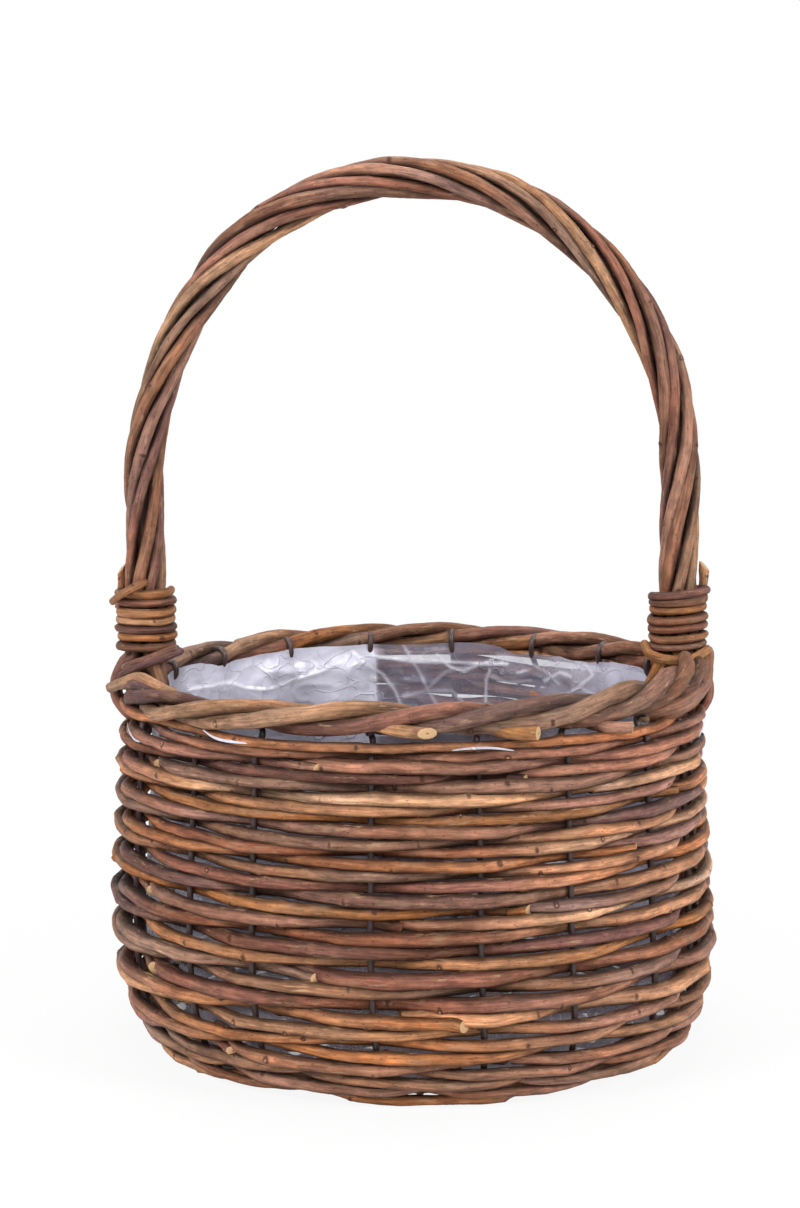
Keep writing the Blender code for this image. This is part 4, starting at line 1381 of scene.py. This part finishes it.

# Folds on the back wall, pressed in and lit by a painted highlight: strength, and degrees round the rim
# with height in millimetres
FILM_CREASES = (
    (0.95, ((154.7, 162), (146, 161.6), (138.1, 160.8), (134.2, 157.1), (128.9, 155.7), (123.7, 157),
            (118.2, 159.8), (112.8, 162.3), (106.6, 168.1))),
    (0.35, ((138, 160.8), (131, 152), (125, 144))),
    (0.45, ((99.4, 172.5), (98.8, 164.3), (98.6, 142))),
    (0.60, ((104.6, 171.7), (101.1, 164.9), (96.9, 159.3), (93.9, 150.4), (92.4, 142))),
    (0.85, ((98.6, 169.2), (92.7, 166.8), (82.8, 165.8), (72.8, 165.4), (66, 166.4))),
    (0.45, ((91.9, 175), (87.8, 160.2), (83.6, 142))),
    (0.80, ((83.6, 169.6), (80.3, 162.7), (77.3, 161.2), (72.8, 165.4), (69.7, 167.9))),
    (0.40, ((86.5, 150.4), (81.6, 160.4), (75.3, 164.1))),
    (0.75, ((71.5, 142), (71.3, 156.9), (70.3, 162.4))),
    (0.45, ((71.3, 160), (65, 156.6), (60, 158))),
    (0.50, ((53, 148), (51.1, 151.1), (45, 157.9), (41.1, 165.3), (43.5, 170), (50.6, 172.7))),
    (0.60, ((56, 158.7), (51.2, 164.5), (47.5, 163.2))),
    (0.40, ((68.5, 170.8), (62.4, 168.9), (55.5, 163.6), (52, 158))),
    (0.35, ((77, 143), (80, 150), (86.5, 150.4), (92, 147))),
    (0.30, ((44, 158), (36, 150), (28, 147))),
)
CREASE_WIDTH = 0.9 * MM
CREASE_DEPTH = 0.9 * MM

# Slips of the film's hem that show between the rods: the width in millimetres, and the route as image
# x, image y and world y in millimetres
FILM_SLIPS = (
    (1.3, ((203, 730, -123), (212, 736.5, -126), (224, 740.5, -130), (247, 743.5, -134))),
    (1.3, ((127, 722, -52), (129, 731, -55), (134, 739, -62), (140, 742, -68))),
    (1.1, ((452, 750.5, -149), (470, 748.5, -150), (492, 748, -150), (514, 750.5, -149))),
    (1.5, ((705, 718, -62), (703, 727, -66), (699, 737, -72))),
)
FILM_SLIP_TONE = (0.56, 0.56, 0.64)
FILM_SLIP_STEP = 1.0 * MM
FILM_SLIP_TIP = 0.1


def lattice_noise(x, y, columns, rows, rng):
    """Smooth random values from -1 to 1 on a lattice that meets itself in x."""
    values = rng.uniform(-1, 1, (rows + 2, columns))
    x, y = x * columns, y * rows
    left, low = np.floor(x).astype(int), np.floor(y).astype(int)
    along, up = smooth_share(x - left), smooth_share(y - low)
    left, right = left % columns, (left + 1) % columns
    bottom = values[low, left] * (1 - along) + values[low, right] * along
    top = values[low + 1, left] * (1 - along) + values[low + 1, right] * along
    return bottom * (1 - up) + top * up


def main_folds(turn):
    """How far the film is drawn in from the wall by its main folds, as in the solids."""
    count = LINER_FOLDS * len(LINER_FOLD_SHARES)
    fold, place_in_fold = np.divmod(np.arange(count + 1), len(LINER_FOLD_SHARES))
    evenness = 1 - LINER_FOLD_UNEVENNESS * (1 + np.cos(LINER_FOLD_CHANGE * fold)) / 2
    depth = LINER_FOLD_DEPTH * np.array(LINER_FOLD_SHARES)[place_in_fold] * evenness
    return np.interp(turn * count, np.arange(count + 1), depth)


def crease_highlight(angle, height):
    """How strongly each place on the film lies on one of its drawn folds, which sets their painted highlight.
    """
    light = np.zeros_like(height)
    film_radius = RIM_RADIUS - FILM_OFFSET
    arc = angle * film_radius
    for strength, line in FILM_CREASES:
        line = np.array(line)
        ends = np.stack([np.radians(line[:, 0]) * film_radius, line[:, 1] * MM], axis=1)
        for start, end in zip(ends, ends[1:]):
            along = end - start
            share = ((arc - start[0]) * along[0] + (height - start[1]) * along[1]) / (along @ along)
            share = np.clip(share, 0, 1)
            away = np.hypot(arc - start[0] - share * along[0], height - start[1] - share * along[1])
            light = np.maximum(light, strength * bell(away, CREASE_WIDTH))
    return light


def table_at(table, places):
    """Values of a table of (place, value) rows, read at places."""
    return np.interp(places, [row[0] for row in table], [row[1] for row in table])


def film_wall(turn, degrees, rng):
    """The film's wall as rows of points, how far up it each is, and how strongly a fold's painted highlight
    lies on it.
    """
    marks, _, heights, _, _ = STAKE_LINE
    ragged = FILM_EDGE_CHANGE * lattice_noise(turn, 0 * turn, *FILM_EDGE_LATTICE, rng)
    top = np.interp(table_at(FILM_EDGE, degrees) * MM + ragged, heights, marks)[None, :]
    split = np.interp(FILM_SPLIT_HEIGHT, heights, marks)
    low = np.linspace(0, 1, FILM_LOW_ROWS, endpoint=False)[:, None]
    high = np.linspace(0, 1, FILM_HIGH_ROWS)[:, None]
    distance = np.vstack([FILM_START + (split - FILM_START) * low + 0 * top, split + (top - split) * high])
    rise = (distance - FILM_START) / (top - FILM_START)
    turns = np.broadcast_to(turn[None, :], distance.shape)
    folds = FILM_FOLD_SHARE * main_folds(turns) * np.sqrt(rise)
    for columns, rows, size in FILM_CRUMPLES:
        crumple = size * MM * (1 - 2 * np.abs(lattice_noise(turns, rise, columns, rows, rng)))
        folds = folds + np.maximum(crumple, FILM_LEAST_CRUMPLE) * np.clip(rise * FILM_CRUMPLE_RISE, 0, 1)
    folds = folds * table_at(FOLD_FULLNESS, degrees)
    light = crease_highlight(turns * TURN, distance + heights[-1] - marks[-1])
    inward = FILM_OFFSET + np.maximum(folds, 0) + CREASE_DEPTH * light
    hem = FILM_HEM_SHARE * smooth_share((rise - FILM_HEM_FROM) / (1 - FILM_HEM_FROM))
    inward = inward + (FILM_OFFSET - inward) * hem
    radius, height = wall_place(distance, -inward)
    height = np.maximum(height, BASE_THICKNESS + FILM_LEAST_GAP)
    return around(radius, turns * TURN, height), rise, light


def film_floor(turn, radius, rng):
    """The film's floor as rings of points out to a radius."""
    rings = []
    for share in np.linspace(*FILM_FLOOR_SHARES, FILM_FLOOR_ROWS):
        lift = FILM_FLOOR_LIFT * (1 + lattice_noise(turn, share + 0 * turn, *FILM_FLOOR_LATTICE, rng))
        rings.append(around(share * radius, turn * TURN, BASE_THICKNESS + FILM_FLOOR_GAP + lift))
    return np.array(rings)


def film_slip(piece, width, route):
    """A narrow slip of film that follows a line of the image."""
    curve, _, marks = spline(sighted(route))
    points = read_rows(even_marks(marks[-1], FILM_SLIP_STEP), marks, curve)
    narrowing = np.sqrt(np.sin(np.linspace(FILM_SLIP_TIP, math.pi - FILM_SLIP_TIP, len(points))))
    half = width / 2 * MM * narrowing
    offset = np.stack([0 * half, 0 * half, half], axis=1)
    vertices = np.vstack([points - offset, points + offset])
    faces = [(k, k + 1, len(points) + k + 1, len(points) + k) for k in range(len(points) - 1)]
    painted = np.zeros((len(vertices), PAINTED))
    painted[:, TONE] = FILM_SLIP_TONE
    painted[:, WEAR] = 1
    piece.add(vertices, faces, painted)


def make_liner():
    """A film bag that stands on the base mat and hangs in creased folds from under the border."""
    rng = np.random.default_rng(51)
    back_start, back_end = FILM_BACK_DEGREES
    back = np.arange(back_start, back_end, FILM_BACK_STEP)
    degrees = np.concatenate([back, np.arange(back_end, 360 + back_start, FILM_FRONT_STEP)])
    turn = degrees / 360 % 1
    order = np.argsort(turn)
    turn, degrees = turn[order], degrees[order] % 360
    wall, rise, light = film_wall(turn, degrees, rng)
    floor = film_floor(turn, np.hypot(*wall[0, :, :2].T).min(), rng)
    rows, columns = len(floor) + len(wall), len(turn)
    painted = np.zeros((rows, columns, PAINTED))
    wall_share = np.vstack([np.zeros(floor.shape[:2]), smooth_share(rise / FILM_FLOOR_BLEND)])
    # The film's tone round the rim: partly its own, partly painted light at the back left and painted shade
    # at the front
    tone = read_rows(degrees, [row[0] for row in FILM_TONES_AND_LIGHT], [row[1] for row in FILM_TONES_AND_LIGHT])
    painted[:, :, TONE] = FILM_FLOOR_TONE + (tone - FILM_FLOOR_TONE) * wall_share[:, :, None]
    milky = table_at(FILM_MILKY, degrees)
    painted[:, :, WEAR] = FILM_FLOOR_MILKY + (milky - FILM_FLOOR_MILKY) * wall_share
    # The drawn folds' painted highlight, kept in the knot values
    painted[len(floor):, :, KNOT] = light
    piece = Piece()
    vertices = np.vstack([floor, wall]).reshape(-1, 3)
    piece.add(vertices, closed_grid(rows, columns), painted.reshape(-1, PAINTED))
    for width, route in FILM_SLIPS:
        film_slip(piece, width, route)
    liner = piece.build("film_liner", film_material(), ["liner"])


# Base mat. Each full stick lies in a lane of the middle cross and fans out to its two places, given
# in degrees with the lane
STICK_LANE = 5.2 * MM
CROSS_LANES = 2.6
STICKS_ALONG_X = ((1.5, 30), (0.5, 10), (-0.5, -10), (-1.5, -30))
STICKS_ALONG_Y = ((2, 50), (1, 70), (0, 90), (-1, 110), (-2, 130))
STICK_RADII = (BASE_RADIUS - 2 * MM, 0.085, 0.050, 0.032)
STICK_LIFT = 1.5 * MM
STICK_DIAMETER = 4.9 * MM
WEAVER_DIAMETER = 4.3 * MM
WEAVER_SWING = 2.35 * MM
WEAVER_STEPS = 145
MAT_MIDDLE = 4.0 * MM
WEAVER_TURN = 0.7
PAIR_TURN = 0.3
MAT_LOOK = {"oval": 0.0, "sides": 8, "kink": 0.1 * MM, "flat": 0.70}
STICK_LOOK = {**MAT_LOOK, "step": 4 * MM, "knot_height": 0.05}
WEAVER_LOOK = {**MAT_LOOK, "step": 3.6 * MM, "knot_height": 0.08}
MAT_TONES = ("mauve", "tan", "brown", "grey", "orange", "rose", "brown")
BASE_RING_WIDTH = 9 * MM
BASE_RINGS = 11


def base_stick(piece, start_degrees, end_degrees, lane, along_x, rng):
    """A full stick from edge to edge, through its lane of the middle cross."""
    first, last = (around(np.array(STICK_RADII), math.radians(degrees), MAT_MIDDLE)
                   for degrees in (start_degrees, end_degrees))
    main, side = (0, 1) if along_x else (1, 0)
    middle = np.zeros((3, 3))
    middle[:, main] = np.array((-1, 0, 1)) * CROSS_LANES * STICK_LANE * (1 if first[0, main] < 0 else -1)
    middle[:, side] = lane * STICK_LANE
    middle[:, 2] = MAT_MIDDLE - STICK_LIFT if along_x else MAT_MIDDLE + STICK_LIFT
    route = np.vstack([first, middle, last[::-1]])
    add_rod(piece, route, STICK_DIAMETER, TONES["brown"], rng, **STICK_LOOK)


def make_base():
    """The bottom: sticks that cross in the middle, with pairs of rods woven over and under them."""
    rng = np.random.default_rng(61)
    piece = Piece()
    for lane, degrees in STICKS_ALONG_X:
        base_stick(piece, 180 - degrees, degrees, lane, True, rng)
    for lane, degrees in STICKS_ALONG_Y:
        base_stick(piece, -degrees, degrees, lane, False, rng)
    for number in range(BASE_RINGS):
        for half in (-1, 1):
            radius = BASE_RADIUS - BASE_RING_WIDTH * (number + 0.5) + half * BASE_RING_WIDTH / 4
            angle = np.linspace(0, TURN, WEAVER_STEPS) + WEAVER_TURN * number + PAIR_TURN * half
            swing = WEAVER_SWING if number % 2 else -WEAVER_SWING
            height = MAT_MIDDLE + swing * np.sin(STAKE_COUNT / 2 * angle)
            tone = TONES[MAT_TONES[(2 * number + half) % len(MAT_TONES)]]
            add_rod(piece, around(radius, angle, height), WEAVER_DIAMETER, tone, rng, **WEAVER_LOOK)
    piece.build("woven_base", BARK, ["base_mat"])


# Studio: the floor's colour, how far from the middle it starts and ends to turn pure white, its half
# width, and how strongly the surroundings light the basket
WHITE = (1, 1, 1, 1)
FLOOR_COLOUR = (0.86, 0.86, 0.86, 1)
FLOOR_ROUGHNESS = 0.6
FLOOR_FADE = (0.15, 0.40)
FLOOR_GLOW = (0.90, 1.0)
FLOOR_HALF_WIDTH = 6.0
SURROUNDING_LIGHT = 0.08

# The lamps: name, place, width and power
LAMPS = (
    ("left_lamp", (-1.6, -1.3, 1.4), 0.8, 38.0),
    ("right_lamp", (1.7, -1.1, 1.3), 0.8, 34.0),
    ("front_lamp", (0.1, -2.2, 1.1), 0.7, 12.0),
    ("top_lamp", (0.0, 0.3, 1.9), 1.0, 20.0),
)
LAMP_AIM = (0, 0, 0.15)


def seen_directly(tree):
    """1 where the camera sees a surface itself, or through or in another one."""
    path = tree.node("LightPath")
    seen = tree.math("MAXIMUM", path.outputs["Is Camera Ray"], path.outputs["Is Transmission Ray"])
    return tree.math("MAXIMUM", seen, path.outputs["Is Glossy Ray"])


def make_world():
    world = bpy.data.worlds.new("studio")
    bpy.context.scene.world = world
    world.use_nodes = True
    tree = Shader(world.node_tree)
    strength = tree.ranged(seen_directly(tree), 0.0, 1.0, SURROUNDING_LIGHT, 1.0)
    tree.fill(world.node_tree.nodes["Background"], {"Color": WHITE, "Strength": strength})


def make_floor():
    material, tree, shader = new_material("white_floor")
    tree.fill(shader, {"Base Color": FLOOR_COLOUR, "Roughness": FLOOR_ROUGHNESS})
    glow = tree.node("Emission", {"Color": WHITE, "Strength": 1.0})
    distance = tree.node("VectorMath", {0: tree.node("TexCoord").outputs["Object"]}, operation="LENGTH")
    whiteness = tree.ranged(distance.outputs["Value"], *FLOOR_FADE, *FLOOR_GLOW)
    factor = tree.times(seen_directly(tree), whiteness)
    mix = tree.node("MixShader", {0: factor, 1: shader.outputs["BSDF"], 2: glow.outputs["Emission"]})
    tree.fill(material.node_tree.nodes["Material Output"], {"Surface": mix.outputs[0]})
    mesh = bpy.data.meshes.new("floor")
    signs = ((-1, -1), (1, -1), (1, 1), (-1, 1))
    mesh.from_pydata([(x * FLOOR_HALF_WIDTH, y * FLOOR_HALF_WIDTH, 0) for x, y in signs], [], [(0, 1, 2, 3)])
    mesh.materials.append(material)
    floor = bpy.data.objects.new("floor", mesh)
    bpy.context.scene.collection.objects.link(floor)


def make_lamps():
    for name, spot, width, power in LAMPS:
        light = bpy.data.lights.new(name, "AREA")
        light.size = width
        light.energy = power
        lamp = bpy.data.objects.new(name, light)
        lamp.location = spot
        aim = np.array(LAMP_AIM) - np.array(spot)
        lamp.rotation_euler = Vector(aim).to_track_quat("-Z", "Y").to_euler()
        bpy.context.scene.collection.objects.link(lamp)


def make_camera():
    data = bpy.data.cameras.new("camera")
    data.lens = CAMERA_LENS_MM
    data.sensor_width = SENSOR_MM
    camera = bpy.data.objects.new("camera", data)
    camera.location = CAMERA_PLACE
    camera.rotation_euler = (math.pi / 2 - CAMERA_PITCH, 0, 0)
    bpy.context.scene.collection.objects.link(camera)
    bpy.context.scene.camera = camera


bpy.context.scene.view_settings.view_transform = "Standard"
make_world()
make_floor()
make_lamps()
make_camera()
make_base()
make_wale()
make_stakes()
make_border()
make_handle()
make_bindings()
make_liner()
